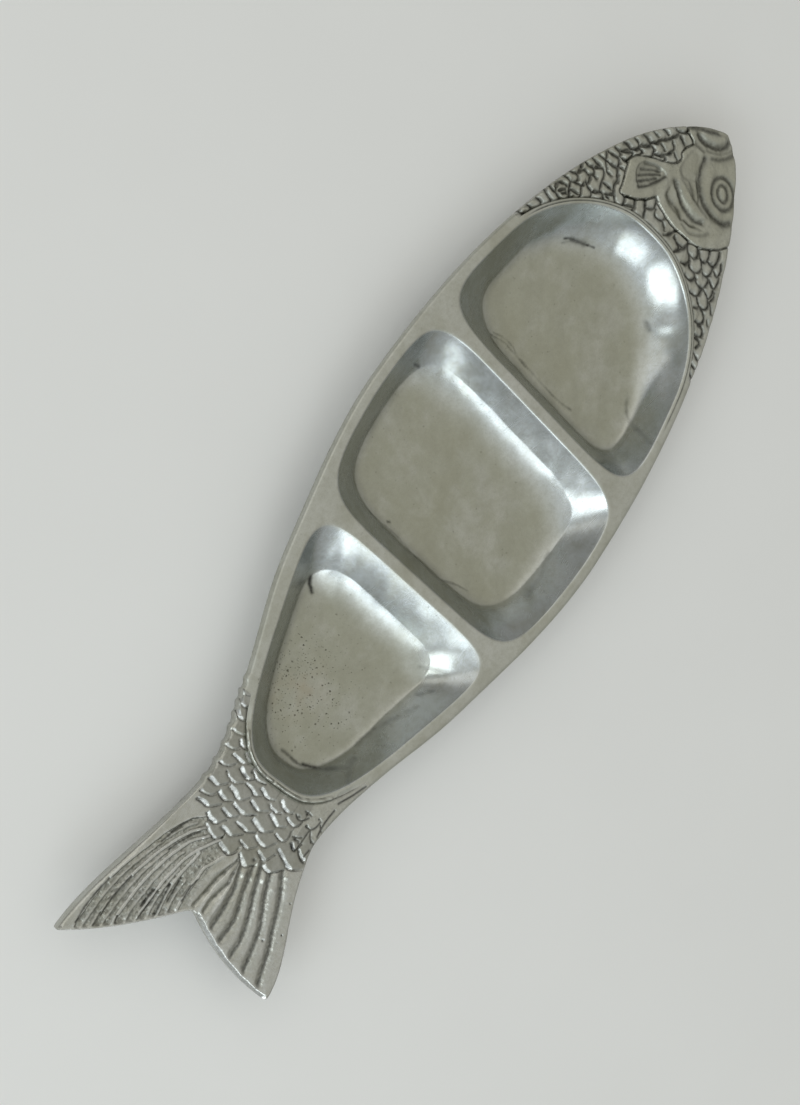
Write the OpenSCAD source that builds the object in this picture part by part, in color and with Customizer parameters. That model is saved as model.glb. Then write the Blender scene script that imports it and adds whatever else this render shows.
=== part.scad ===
// Fish shaped serving platter, cast in one metal, shown as the sections of its casting.
// The nose points along +X, the tail along -X, and the platter rests on the flat feet of its wells.

/* [Body] */
// Length from the nose back to the widest place
front_l = 220; // [190:1:250]
// Length from the widest place back to the waist of the tail
rear_l = 190; // [165:1:215]
// Width at the widest place
body_w = 146.6; // [134:0.2:164]
// Width at the waist of the tail
waist_w = 61; // [54:0.5:68]
// How far the tip of the nose lies to the side of the centre line
nose_drop = 4; // [0:0.5:8]

/* [Rim] */
// Height of the rim above the table
rim_h = 24; // [20:0.5:32]
// Thickness of the rim and of the head
rim_t = 5; // [4:0.25:7]
// Width of the rim beside the wells
rim_w = 5; // [4:0.25:6.5]
// Width of the two dividers between the wells
divider_w = 5; // [4:0.25:8]
// From the widest place back to the rear divider
rear_divider = 65.5; // [55:0.5:75]
// From the widest place forward to the front divider
front_divider = 39.5; // [30:0.5:50]
// Lean of the rear divider, in degrees
rear_lean = 2.5; // [0:0.5:6]
// Lean of the front divider, in degrees
front_lean = 4; // [0:0.5:6]

/* [Wells] */
// Thickness of the floor of the wells
floor_t = 4; // [3:0.25:6]
// Slope of the walls of the wells, in degrees
wall_angle = 60; // [52:1:70]
// Radius of the rounded lip of the wells
lip_r = 2.5; // [1.5:0.25:4]
// Radius of the hollow between wall and floor
floor_r = 9; // [6:0.5:12]
// From the waist forward to the rear end of the tail well
stock_l = 14.5; // [11:0.5:20]
// From the nose back to the front end of the head well
head_l = 70; // [62:0.5:80]
// Width of the smooth collar round the ends of the wells
collar_w = 2.5; // [1.5:0.25:3.25]

/* [Head] */
// From the nose back to the end of the scaled head, beside the head well
head_side_l = 115; // [106:1:124]
// Outer radius of the ring round the eye
eye_ring_r = 7.2; // [6:0.1:8.5]
// Radius of the eye
eye_r = 3.6; // [2.5:0.1:4.2]
// From the nose back to the middle of the eye
eye_back = 25.5; // [23:0.5:29]
// Width of the face between the ring of the eye and the outline
eye_edge = 3.3; // [2.5:0.1:5]
// Width of the grooves in the face
groove_w = 1; // [0.6:0.1:1.5]
// Height of the face above the rim
face_rise = 0.8; // [0.4:0.1:1.5]

/* [Tail] */
// From the waist forward to the end of the scaled tail root, beside the tail well
stock_side_l = 38; // [30:1:46]
// Length of the upper lobe from the waist to its tip
upper_l = 90; // [80:1:105]
// Length of the lower lobe from the waist to its tip
lower_l = 66; // [58:1:76]
// Length from the waist to the fork
fork_l = 51; // [44:1:56]
// From the waist to the roots of the tail rays
ray_root_l = 25; // [18:1:32]
// Sideways reach of the upper lobe
upper_reach = 46; // [38:1:54]
// Sideways reach of the lower lobe
lower_reach = 53; // [44:1:60]
// Thickness of the tail
tail_t = 6.5; // [5:0.25:9]
// Number of rays on the upper lobe
upper_rays = 9; // [6:1:10]
// Number of rays on the lower lobe
lower_rays = 6; // [4:1:7]
// Width of the smooth band along the root of the upper lobe
upper_band = 7.5; // [5:0.5:11]
// Width of the smooth band along the root of the lower lobe
lower_band = 1.5; // [1:0.5:6]

/* [Relief] */
// Height of the scales and rays
relief_h = 1.2; // [0.8:0.1:1.6]
// Length of a tail scale
tail_scale_l = 10.3; // [8:0.1:13]
// Width of a tail scale
tail_scale_w = 10.2; // [8:0.1:13]
// Pitch of the rows of head scales
head_row = 5.2; // [4.5:0.1:7]
// Width of a head scale beside the collar
head_scale_w = 6.6; // [5.5:0.1:8]
// Gap between neighbouring scales
scale_gap = 0.6; // [0.3:0.1:1]

/* [Hidden] */

// Places along X
total_l = front_l + rear_l + upper_l;
nose_x = total_l / 2;
belly_x = nose_x - front_l;
waist_x = belly_x - rear_l;
fork_x = waist_x - fork_l;
ray_x = waist_x - ray_root_l;
rear_div_x = belly_x - rear_divider;
front_div_x = belly_x + front_divider;
head_split_x = nose_x - head_side_l;
tail_split_x = waist_x + stock_side_l;

// Heights
rim_z = rim_h - rim_t;
plate_z = rim_h - relief_h;
face_z = rim_h + face_rise;
tail_z = rim_h - tail_t;

// Form of the outline: how full the head is, and how the body draws in to the tail
nose_full = 2.2;
nose_blunt = 1.5;
rear_full = 1.8;
rear_blunt = 1.5;
nose_bend_l = 40;
upper_bow = 0.3;
lower_bow = 1;

// Squareness of the ends of the wells: 2 is a half ellipse, and higher is squarer
square_end = 6.5;
head_end = 2.35;
tail_end = 3.3;

ring_n = 60;
side_n = 56;
edge_n = 18;
arc_n = 5;
round_n = 64;
far = 2 * total_l;

// Colours
deck_colour = [0.72, 0.71, 0.66];
well_colour = [0.66, 0.65, 0.61];
relief_colour = [0.56, 0.55, 0.51];
eye_colour = [0.45, 0.44, 0.41];

function lerp(a, b, t) = a + (b - a) * t;
function smooth(t) = t * t * (3 - 2 * t);
function clamp01(t) = max(0, min(1, t));
function bezier(a, b, c, t) = (1 - t) * (1 - t) * a + 2 * t * (1 - t) * b + t * t * c;

// Half width of the body at x, from the waist to the nose
function half_front(q) = body_w / 2 * pow(1 - pow(1 - q, nose_full), 1 / nose_blunt);
function half_rear(s) = lerp(waist_w / 2, body_w / 2, pow(1 - pow(s, rear_full), rear_blunt));
function half_w(x) = x > belly_x
  ? half_front(clamp01((nose_x - x) / front_l))
  : half_rear(clamp01((belly_x - x) / rear_l));

// Sideways place of the centre line, which bends at the nose
function mid_y(x) = -nose_drop * pow(clamp01(1 - (nose_x - x) / nose_bend_l), 2);

// Outer edges and trailing edges of the two lobes of the tail
function upper_y(x) = lerp(waist_w / 2, upper_reach, smooth(clamp01((waist_x - x) / upper_l)));
function lower_y(x) = -lerp(waist_w / 2, lower_reach, smooth(clamp01((waist_x - x) / lower_l)));
function bowed(s, bow) = s * (1 + bow - bow * s);
function upper_trail(s) = [fork_x - (upper_l - fork_l) * bowed(s, upper_bow), upper_reach * s];
function lower_trail(s) = [fork_x - (lower_l - fork_l) * bowed(s, lower_bow), -lower_reach * s];

// A well is [rear end x, front end x, squareness of each end, lean of each end]
head_well_form = [front_div_x + divider_w / 2, nose_x - head_l, square_end, head_end, front_lean, 0];
middle_well_form = [rear_div_x + divider_w / 2, front_div_x - divider_w / 2, square_end, square_end,
  rear_lean, front_lean];
tail_well_form = [waist_x + stock_l, rear_div_x - divider_w / 2, tail_end, square_end, 0, rear_lean];

function signed_pow(v, e) = sign(v) * pow(abs(v), e);

// Outline of a well, drawn in by the inset
function well_point(form, inset, t) =
  let(
    mid = (form[0] + form[1]) / 2,
    reach = (form[1] - form[0]) / 2 - inset,
    square = cos(t) < 0 ? form[2] : form[3],
    u = signed_pow(cos(t), 2 / square),
    v = signed_pow(sin(t), 2 / square),
    lean = tan(lerp(form[4], form[5], (u + 1) / 2)),
    straight_x = mid + reach * u,
    x = straight_x + lean * v * (half_w(straight_x) - rim_w - inset)
  )
  [x, v * (half_w(x) - rim_w - inset)];
function well_ring(form, inset) = [for (i = [0:ring_n - 1]) well_point(form, inset, 360 * i / ring_n)];

// Cross section of a well as [inset, z], from the lip down to the floor, and from the rim down to the foot
foot_r = floor_r + floor_t;
wall_run = (rim_h - floor_t) / tan(wall_angle);
floor_inset = wall_run + (lip_r + floor_r) * tan(wall_angle / 2);
foot_inset = rim_z / tan(wall_angle) + foot_r * tan(wall_angle / 2);
inner_section = concat(
  [for (i = [0:arc_n - 2]) let(a = wall_angle * i / (arc_n - 2))
    [lip_r * sin(a), rim_h - lip_r * (1 - cos(a))]],
  [for (i = [0:arc_n]) let(a = wall_angle * (1 - i / arc_n))
    [floor_inset - floor_r * sin(a), floor_t + floor_r * (1 - cos(a))]]
);
outer_section = concat(
  [[0, rim_h], [0, rim_z]],
  [for (i = [0:arc_n]) let(a = wall_angle * (1 - i / arc_n))
    [foot_inset - foot_r * sin(a), foot_r * (1 - cos(a))]]
);

// A shell between the two sections, closed by its floor and its foot
module well_shell(form) {
  inner = [for (i = [len(inner_section) - 1:-1:0]) inner_section[i]];
  outer = [for (i = [1:len(outer_section) - 1]) outer_section[i]];
  rings = concat(inner, outer);
  last = len(rings) - 1;
  points = [for (s = rings) for (p = well_ring(form, s[0])) [p[0], p[1], s[1]]];
  floor_face = [for (i = [0:ring_n - 1]) ring_n - 1 - i];
  foot_face = [for (i = [0:ring_n - 1]) last * ring_n + i];
  walls = [for (r = [0:last - 1]) for (i = [0:ring_n - 1])
    let(j = (i + 1) % ring_n, a = r * ring_n, b = a + ring_n)
    each [[a + i, a + j, b + j], [a + i, b + j, b + i]]];
  polyhedron(points, concat([floor_face, foot_face], walls));
}

// Outlines
module body_2d() {
  front_x = [for (i = [0:side_n]) nose_x - front_l * pow(i / side_n, 2)];
  rear_x = [for (i = [1:edge_n]) belly_x - rear_l * i / edge_n];
  stations = concat(front_x, rear_x);
  upper = [for (x = stations) [x, mid_y(x) + half_w(x)]];
  lower = [for (i = [len(stations) - 1:-1:1]) let(x = stations[i]) [x, mid_y(x) - half_w(x)]];
  polygon(concat(upper, lower));
}

module beyond_2d(x, side) {
  translate([side > 0 ? x : x - far, -far / 2])
    square(far);
}

module well_2d(form, inset) {
  polygon(well_ring(form, inset));
}

module head_2d() {
  difference() {
    intersection() {
      body_2d();
      beyond_2d(head_split_x, 1);
    }
    well_2d(head_well_form, -collar_w);
  }
}

module stock_2d() {
  difference() {
    union() {
      intersection() {
        body_2d();
        beyond_2d(tail_split_x, -1);
      }
      tail_root_2d();
    }
    well_2d(tail_well_form, -collar_w);
  }
}

module tail_root_2d() {
  steps = [for (i = [0:edge_n]) lerp(waist_x, ray_x, i / edge_n)];
  upper = [for (x = steps) [x, upper_y(x)]];
  lower = [for (i = [edge_n:-1:0]) [steps[i], lower_y(steps[i])]];
  polygon(concat(upper, lower));
}

module upper_lobe_2d() {
  trail = [for (i = [0:edge_n]) upper_trail(i / edge_n)];
  edge = [for (i = [1:edge_n]) let(x = lerp(waist_x - upper_l, ray_x, i / edge_n)) [x, upper_y(x)]];
  polygon(concat(trail, edge, [[ray_x, 0]]));
}

module lower_lobe_2d() {
  trail = [for (i = [0:edge_n]) lower_trail(i / edge_n)];
  edge = [for (i = [1:edge_n]) let(x = lerp(waist_x - lower_l, ray_x, i / edge_n)) [x, lower_y(x)]];
  polygon(concat(trail, edge, [[ray_x, 0]]));
}

module slab(z0, z1) {
  translate([0, 0, z0])
    linear_extrude(z1 - z0)
      children();
}

// The flat rim with its dividers and the collars round the end wells
module rim() {
  color(deck_colour)
    slab(rim_z, rim_h)
      difference() {
        intersection() {
          body_2d();
          union() {
            intersection() {
              beyond_2d(tail_split_x, 1);
              beyond_2d(head_split_x, -1);
            }
            well_2d(head_well_form, -collar_w);
            well_2d(tail_well_form, -collar_w);
          }
        }
        well_2d(head_well_form, 0);
        well_2d(middle_well_form, 0);
        well_2d(tail_well_form, 0);
      }
}

module head_well() {
  color(well_colour)
    well_shell(head_well_form);
}

module middle_well() {
  color(well_colour)
    well_shell(middle_well_form);
}

module tail_well() {
  color(well_colour)
    well_shell(tail_well_form);
}

module head_plate() {
  color(deck_colour)
    slab(rim_z, plate_z)
      head_2d();
}

module tail_stock() {
  color(deck_colour)
    slab(tail_z, plate_z)
      stock_2d();
}

module upper_lobe() {
  color(deck_colour)
    slab(tail_z, plate_z)
      upper_lobe_2d();
}

module lower_lobe() {
  color(deck_colour)
    slab(tail_z, plate_z)
      lower_lobe_2d();
}

// A scale is a low wedge, thin at its pointed root and thick at its round free end, which faces -X
scale_arc = 5;
root_share = 0.25;
root_waist = 0.13;
function scale_outline(l, w) = concat(
  [for (i = [0:scale_arc]) let(a = 90 + 180 * i / scale_arc) [l / 2 * cos(a), w / 2 * sin(a)]],
  [[l * root_waist, -w * root_waist], [l / 2, 0], [l * root_waist, w * root_waist]]
);
function placed(edge, at, turn) = [for (p = edge)
  at + [p[0] * cos(turn) - p[1] * sin(turn), p[0] * sin(turn) + p[1] * cos(turn)]];

// A scale in a field is [place, turn, length, width]
function wedge_points(s) =
  let(
    flat = scale_outline(s[2], s[3]),
    plan = placed(flat, s[0], s[1]),
    rise = [for (p = flat) relief_h * lerp(1, root_share, (p[0] + s[2] / 2) / s[2])]
  )
  concat(
    [for (p = plan) [p[0], p[1], plate_z]],
    [for (i = [0:len(plan) - 1]) [plan[i][0], plan[i][1], plate_z + rise[i]]]
  );
// The outline bends in at the root, so its flat faces are made of three parts that bend out only
scale_parts = [
  [for (i = [0:scale_arc]) i],
  [0, scale_arc, scale_arc + 1, scale_arc + 3],
  [scale_arc + 1, scale_arc + 2, scale_arc + 3]
];
function wedge_faces(from, n) = concat(
  [for (part = scale_parts) [for (i = part) from + i]],
  [for (part = scale_parts) [for (k = [len(part) - 1:-1:0]) from + n + part[k]]],
  [for (i = [0:n - 1]) let(j = (i + 1) % n) [from + i, from + n + i, from + n + j, from + j]]
);

module scale_field(scales) {
  n = len(scale_outline(1, 1));
  points = [for (s = scales) each wedge_points(s)];
  faces = [for (i = [0:len(scales) - 1]) each wedge_faces(2 * n * i, n)];
  polyhedron(points, faces);
}

// Whether a point lies on the body or the tail, at least the margin inside the edge
function on_body(p, margin) = p[0] > waist_x
  ? abs(p[1] - mid_y(p[0])) < half_w(p[0]) - margin
  : p[1] < upper_y(p[0]) - margin && p[1] > lower_y(p[0]) + margin;

// Whether a point lies outside a well that is grown by a collar
function off_well(p, form, collar) =
  let(
    mid = (form[0] + form[1]) / 2,
    reach = (form[1] - form[0]) / 2 + collar,
    square = p[0] < mid ? form[2] : form[3],
    u = abs(p[0] - mid) / reach,
    v = abs(p[1]) / (half_w(p[0]) - rim_w + collar)
  )
  pow(u, square) + pow(v, square) > 1;

function all_true(list) = len([for (ok = list) if (!ok) 1]) == 0;

// A scale that would cross the border of its field is drawn smaller, or left out where none fits
border_sizes = [1, 0.85, 0.7, 0.55, 0.4, 0];
function fitting(tests) = border_sizes[min([for (i = [0:len(tests) - 1]) if (tests[i]) i])];

function on_stock(p) = on_body(p, scale_gap) && off_well(p, tail_well_form, collar_w + scale_gap)
  && p[0] < tail_split_x - scale_gap && p[0] > ray_x + scale_gap;

module tail_scales() {
  columns = ceil((tail_split_x - ray_x) / tail_scale_l);
  rows = ceil(body_w / tail_scale_w);
  l = tail_scale_l - scale_gap;
  w = tail_scale_w - scale_gap;
  scales = [for (column = [0:2 * columns], row = [-rows:rows])
    let(
      at = [ray_x + tail_scale_l / 2 * (column + 1), (row + (column % 2) / 2) * tail_scale_w],
      size = fitting([for (f = border_sizes)
        f == 0 || all_true([for (p = placed(scale_outline(l * f, w * f), at, 0)) on_stock(p)])])
    )
    if (size > 0) [at, 0, l * size, w * size]];
  color(relief_colour)
    scale_field(scales);
}

// Outlines in the face are [back from the nose, sideways], and past_edge lies beyond the edge of the head
past_edge = 60;
throat = [[45, -past_edge], [47, -37], [51, -33], [55, -26.5], [57.5, -20], [58.5, -12], [58, -5], [57, 3]];
fin_edge = [[61, 13], [64.5, 25], [56, 30], [50, 32], [44, 29], [39, 23]];
brow = [[36, 14], [30, 12], [24, 12.5], [17, 10], [11, 13], [3, 22]];
nose_side = [[-past_edge, past_edge], [-past_edge, -past_edge]];
gill_edge = [[39, 9], [43, 3], [46, -4], [47.5, -11], [47, -18], [44, -25], [38, -33], [30, -past_edge]];
gill_side = [[80, -past_edge], [80, 9]];
fin_area = [[70, 9], [57, 9.5], [50, 9], [41, 9], [36, 14], [36, past_edge], [70, past_edge]];
mouth_edge = [[12, past_edge], [12, 2], [9, -3.5], [3, -7], [-18, -10], [-18, past_edge]];

function from_nose(edge) = [for (p = edge) [nose_x - p[0], p[1]]];
face_outline = from_nose(concat(throat, fin_edge, brow, nose_side));

function crosses(p, a, b) = (a[1] > p[1]) != (b[1] > p[1])
  && p[0] < a[0] + (b[0] - a[0]) * (p[1] - a[1]) / (b[1] - a[1]);
function inside(p, edge) =
  let(n = len(edge))
  len([for (i = [0:n - 1]) if (crosses(p, edge[i], edge[(i + 1) % n])) 1]) % 2 == 1;

// Head scales stand in rows on arcs round the head well, and each row is set half a scale from the last
head_arc_r = 62;
head_row_n = 14;
head_turn = 75;

function on_head(p) = on_body(p, scale_gap) && off_well(p, head_well_form, collar_w + scale_gap)
  && !inside(p, face_outline) && p[0] > head_split_x + scale_gap;

module head_scales() {
  centre_x = head_well_form[1] - head_arc_r - head_row;
  step = head_scale_w / (head_arc_r + head_row) * 180 / PI;
  count = ceil(head_turn / step);
  l = 2 * head_row - scale_gap;
  scales = [for (row = [0:head_row_n - 1], k = [-count:count])
    let(
      turn = (k + (row % 2) / 2) * step,
      reach = head_arc_r + head_row * row,
      at = [centre_x + reach * cos(turn), reach * sin(turn)],
      w = reach * step * PI / 180 - scale_gap,
      size = fitting([for (f = border_sizes)
        f == 0 || all_true([for (p = placed(scale_outline(l * f, w * f), at, turn)) on_head(p)])])
    )
    if (size > 0) [at, turn, l * size, w * size]];
  color(relief_colour)
    scale_field(scales);
}

eye_x = nose_x - eye_back;
eye_y = mid_y(eye_x) - half_w(eye_x) + eye_ring_r + eye_edge;

module face_2d() {
  intersection() {
    head_2d();
    polygon(face_outline);
  }
}

// Widens a shape along X and Y, to leave a groove beside it
module widened_2d(dx, dy) {
  for (x = [0, dx], y = [0, dy])
    translate([x, y])
      children();
}

module gill_area_2d() {
  polygon(from_nose(concat(gill_edge, gill_side)));
}

module fin_area_2d() {
  polygon(from_nose(fin_area));
}

module lips_area_2d() {
  polygon(from_nose(mouth_edge));
}

module gill_cover() {
  color(relief_colour)
    slab(plate_z, face_z)
      difference() {
        intersection() {
          face_2d();
          gill_area_2d();
        }
        widened_2d(groove_w, -groove_w)
          fin_area_2d();
      }
}

// The fin is a raised blade with a fan of grooves cut through to the plate
fin_root = [42, 12.5];
fin_grooves = 5;
fin_groove_start = 4;
fin_groove_l = 11;
fin_first = 92;
fin_fan = 78;
module pectoral_fin() {
  color(relief_colour)
    slab(plate_z, face_z)
      difference() {
        intersection() {
          face_2d();
          fin_area_2d();
        }
        for (i = [0:fin_grooves - 1])
          translate([nose_x - fin_root[0], fin_root[1]])
            rotate(fin_first + fin_fan * i / (fin_grooves - 1))
              translate([fin_groove_start, -groove_w / 2])
                square([fin_groove_l, groove_w]);
      }
}

module lips() {
  color(relief_colour)
    slab(plate_z, face_z)
      intersection() {
        face_2d();
        lips_area_2d();
      }
}

module snout() {
  color(relief_colour)
    slab(plate_z, face_z)
      difference() {
        face_2d();
        widened_2d(groove_w, 0)
          gill_area_2d();
        widened_2d(groove_w, -groove_w)
          fin_area_2d();
        widened_2d(-groove_w, -groove_w)
          lips_area_2d();
        translate([eye_x, eye_y])
          circle(eye_ring_r, $fn = round_n);
      }
}

// Rounded ring, and the domed eye that stands in it with a groove between them
module eye_ring() {
  ring_w = eye_ring_r - eye_r - groove_w;
  crown = face_z + relief_h / 4;
  color(relief_colour)
    translate([eye_x, eye_y])
      rotate_extrude($fn = round_n)
        polygon([[eye_ring_r - ring_w, plate_z], [eye_ring_r, plate_z], [eye_ring_r, face_z],
          [eye_ring_r - ring_w / 4, crown], [eye_ring_r - ring_w * 3 / 4, crown],
          [eye_ring_r - ring_w, face_z]]);
}

module eye() {
  dome = face_z - plate_z;
  dome_r = (eye_r * eye_r + dome * dome) / (2 * dome);
  color(eye_colour)
    translate([eye_x, eye_y, 0])
      intersection() {
        translate([0, 0, face_z - dome_r])
          sphere(dome_r, $fn = round_n);
        translate([0, 0, plate_z])
          cylinder(r = eye_r, h = dome, $fn = round_n);
      }
}

// A ray is a low ridge along a bent line, which widens from its root to its tip
ray_steps = 7;
ray_bend_along = 0.45;
ray_bend_across = 0.75;
module ray(root, tip, root_w, tip_w, h) {
  bend = [lerp(root[0], tip[0], ray_bend_along), lerp(root[1], tip[1], ray_bend_across)];
  line = [for (i = [0:ray_steps]) bezier(root, bend, tip, i / ray_steps)];
  sections = [for (i = [0:ray_steps])
    let(
      along = line[min(ray_steps, i + 1)] - line[max(0, i - 1)],
      across = [-along[1], along[0]] / norm(along),
      half = lerp(root_w, tip_w, i / ray_steps) / 2
    )
    [for (s = [[-1, 0], [-0.6, 0.7], [0, 1], [0.6, 0.7], [1, 0]])
      let(p = line[i] + across * half * s[0]) [p[0], p[1], h * s[1]]]];
  n = len(sections[0]);
  skin = [for (i = [0:ray_steps - 1]) for (k = [0:n - 1])
    let(m = (k + 1) % n, a = i * n, b = a + n)
    each [[a + k, b + k, b + m], [a + k, b + m, a + m]]];
  first = [for (k = [0:n - 1]) k];
  final = [for (k = [0:n - 1]) ray_steps * n + n - 1 - k];
  polyhedron([for (s = sections) each s], concat([first, final], skin));
}

// Rays of one lobe, from evenly spaced roots to evenly spaced places on its trailing edge
ray_edge = 2;
ray_span = 0.92;
ray_fill = 0.72;
module lobe_rays(count, root_y, tip_y, trail) {
  color(relief_colour)
    for (i = [0:count - 1]) {
      share = (i + 0.5) / count;
      root = [ray_x - ray_edge, root_y * share];
      tip = trail(ray_span * share) + [ray_edge, 0];
      root_w = ray_fill * abs(root_y) / count;
      tip_w = ray_fill * ray_span * abs(tip_y) / count;
      translate([0, 0, plate_z])
        ray(root, tip, root_w, tip_w, relief_h);
    }
}

module upper_lobe_rays() {
  lobe_rays(upper_rays, waist_w / 2 - upper_band, upper_reach, function(s) upper_trail(s));
}

module lower_lobe_rays() {
  lobe_rays(lower_rays, lower_band - waist_w / 2, -lower_reach, function(s) lower_trail(s));
}

rim();
head_well();
middle_well();
tail_well();
head_plate();
head_scales();
gill_cover();
pectoral_fin();
snout();
eye_ring();
eye();
lips();
tail_stock();
tail_scales();
upper_lobe();
upper_lobe_rays();
lower_lobe();
lower_lobe_rays();
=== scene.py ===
import math

import bpy
import numpy as np
from mathutils import Matrix, Vector
from mathutils.geometry import delaunay_2d_cdt
from mathutils.kdtree import KDTree


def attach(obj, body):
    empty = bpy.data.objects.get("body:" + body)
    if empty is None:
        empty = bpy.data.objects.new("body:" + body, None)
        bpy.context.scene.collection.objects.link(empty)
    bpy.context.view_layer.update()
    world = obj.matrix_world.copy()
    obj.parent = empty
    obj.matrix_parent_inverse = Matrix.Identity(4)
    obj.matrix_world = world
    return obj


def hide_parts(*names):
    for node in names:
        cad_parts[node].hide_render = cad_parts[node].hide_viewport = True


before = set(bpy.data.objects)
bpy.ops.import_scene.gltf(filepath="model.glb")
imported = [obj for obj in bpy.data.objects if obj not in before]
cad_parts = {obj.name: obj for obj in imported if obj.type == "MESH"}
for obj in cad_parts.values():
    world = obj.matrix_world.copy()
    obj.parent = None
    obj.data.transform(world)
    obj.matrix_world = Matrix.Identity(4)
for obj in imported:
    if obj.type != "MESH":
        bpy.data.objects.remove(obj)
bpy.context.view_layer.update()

# The shapes are worked out in millimetres, in the frame of the CAD, and turned to metres in make_piece
MM = 0.001

# Sizes of the casting
NOSE_X, BELLY_X, WAIST_X, TAIL_X = 250.0, 30.0, -160.0, -250.0
FRONT_L, REAR_L, UPPER_L, LOWER_L = 220.0, 190.0, 90.0, 66.0
BODY_W, WAIST_W, NOSE_DROP, NOSE_DROP_L = 146.6, 61.0, 4.0, 40.0
FORK_X, UPPER_REACH, LOWER_REACH = -211.0, 46.0, 53.0
FORK_L = WAIST_X - FORK_X
HEAD_SPLIT, TAIL_SPLIT = 135.0, -122.0
RIM_Z, RIM_LOW, TAIL_LOW, RIM_W, COLLAR_W = 24.0, 19.0, 17.5, 5.0, 2.5
FLOOR_Z, WALL_TILT, FOOT_R = 4.0, math.radians(60), 13.0
# A well is its rear and front end, squareness behind and in front, lean behind and in front
WELLS = {
    "head_well": (72.0, 180.0, 6.5, 2.35, 4.0, 0.0),
    "middle_well": (-33.0, 67.0, 6.5, 6.5, 2.5, 4.0),
    "tail_well": (-145.5, -38.0, 3.3, 6.5, 0.0, 2.5),
}


def clamp01(v):
    return np.clip(v, 0.0, 1.0)


def smooth(v):
    v = clamp01(v)
    return v * v * (3 - 2 * v)


def lerp(a, b, t):
    return a + (b - a) * t


def hash01(i, j):
    """A steady random number from 0 to 1 for each pair of whole numbers."""
    return np.modf(np.abs(np.sin(i * 12.9898 + j * 78.233) * 43758.5453))[0]


# Plan of the casting
def half_w(x):
    q = clamp01((NOSE_X - x) / FRONT_L)
    s = clamp01((BELLY_X - x) / REAR_L)
    front = BODY_W / 2 * (1 - (1 - q) ** 2.2) ** (1 / 1.5)
    rear = lerp(WAIST_W / 2, BODY_W / 2, (1 - s**1.8) ** 1.5)
    return np.where(x > BELLY_X, front, rear)


def mid_y(x):
    return -NOSE_DROP * clamp01(1 - (NOSE_X - x) / NOSE_DROP_L) ** 2


# Knobs where scales reach the outline of the tail root
KNOBS = (-117.4, -122.8, -127.7, -132.8, -138.7, -145.9, -153.6, -162.0)


def upper_y(x):
    tail = lerp(WAIST_W / 2, UPPER_REACH, smooth((WAIST_X - x) / UPPER_L))
    y = np.where(x > WAIST_X, mid_y(x) + half_w(x), tail)
    knobs = sum(np.exp(-(((x - at) / 1.5) ** 2)) for at in KNOBS)
    return y - 1.7 * np.exp(-(((x + 149) / 22) ** 2)) + 2.0 * np.exp(-(((x + 75) / 28) ** 2)) + 0.8 * knobs


def lower_y(x):
    tail = -lerp(WAIST_W / 2, LOWER_REACH, smooth((WAIST_X - x) / LOWER_L))
    y = np.where(x > WAIST_X, mid_y(x) - half_w(x), tail)
    return y - 1.5 * np.exp(-(((x + 172) / 15) ** 2)) - 1.3 * np.exp(-(((x + 82) / 22) ** 2))


def trail(side, s):
    """Points of the trailing edge of a lobe, from the fork to its tip."""
    reach, length, bow = (UPPER_REACH, UPPER_L, 0.3) if side > 0 else (LOWER_REACH, LOWER_L, 1.0)
    length = length - FORK_L
    return np.stack([FORK_X - length * s * (1 + bow - bow * s), side * reach * s], 1)


def well_points(form, inset, t):
    rear, front, square_rear, square_front, lean_rear, lean_front = form
    c, s = np.cos(t), np.sin(t)
    square = np.where(c < 0, square_rear, square_front)
    power = 2 / lerp(square, 2 + 0.55 * (square - 2), smooth(np.asarray(inset) / 18))
    u = np.sign(c) * np.abs(c) ** power
    v = np.sign(s) * np.abs(s) ** power
    straight = (rear + front) / 2 + ((front - rear) / 2 - inset) * u
    lean = np.tan(np.radians(lerp(lean_rear, lean_front, (u + 1) / 2)))
    x = straight + lean * v * (half_w(straight) - RIM_W - inset)
    return np.stack([x, v * (half_w(x) - RIM_W - inset)], 1)


def resample(line, step, closed=False):
    """The line again, with points an even step apart and both ends kept."""
    line = np.vstack([line, line[:1]]) if closed else line
    along = np.r_[0, np.cumsum(np.hypot(*np.diff(line, axis=0).T))]
    n = max(2, int(round(along[-1] / step)) + 1)
    at = np.linspace(0, along[-1], n)
    out = np.stack([np.interp(at, along, line[:, k]) for k in (0, 1)], 1)
    return out[:-1] if closed else out


RING_N = 560
EVEN_T = 20000


def well_turns(form):
    """Turns round a well that put even steps along its lip."""
    w = np.linspace(0, 1, EVEN_T // 4, endpoint=False)
    quarter = w**4 / (w**4 + (1 - w) ** 4)
    t = np.pi / 2 * np.r_[quarter, 1 + quarter, 2 + quarter, 3 + quarter, 4]
    p = well_points(form, 0, t)
    along = np.r_[0, np.cumsum(np.hypot(*np.diff(p, axis=0).T))]
    return np.interp(np.linspace(0, along[-1], RING_N + 1)[:-1], along, t)


TURNS = {name: well_turns(form) for name, form in WELLS.items()}


def collar(name, x_split, front):
    """The outer edge of a collar from its lower to its upper end, round the front or round the rear."""
    t = np.linspace(-np.pi, np.pi, EVEN_T) if front else np.linspace(2 * np.pi, 0, EVEN_T)
    p = well_points(WELLS[name], -COLLAR_W, t)
    kept = p[:, 0] > x_split if front else p[:, 0] < x_split
    p = p[kept]
    p[[0, -1], 0] = x_split
    return resample(p, 0.5)


def body_edge(side, x0, x1, step=0.5):
    """The outline of one side from x0 to x1."""
    w = np.linspace(1, 0, EVEN_T // 4) ** 2
    x = x1 - (x1 - x0) * w
    return resample(np.stack([x, upper_y(x) if side > 0 else lower_y(x)], 1), step)


HEAD_COLLAR = collar("head_well", HEAD_SPLIT, True)
TAIL_COLLAR = collar("tail_well", TAIL_SPLIT, False)


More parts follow.
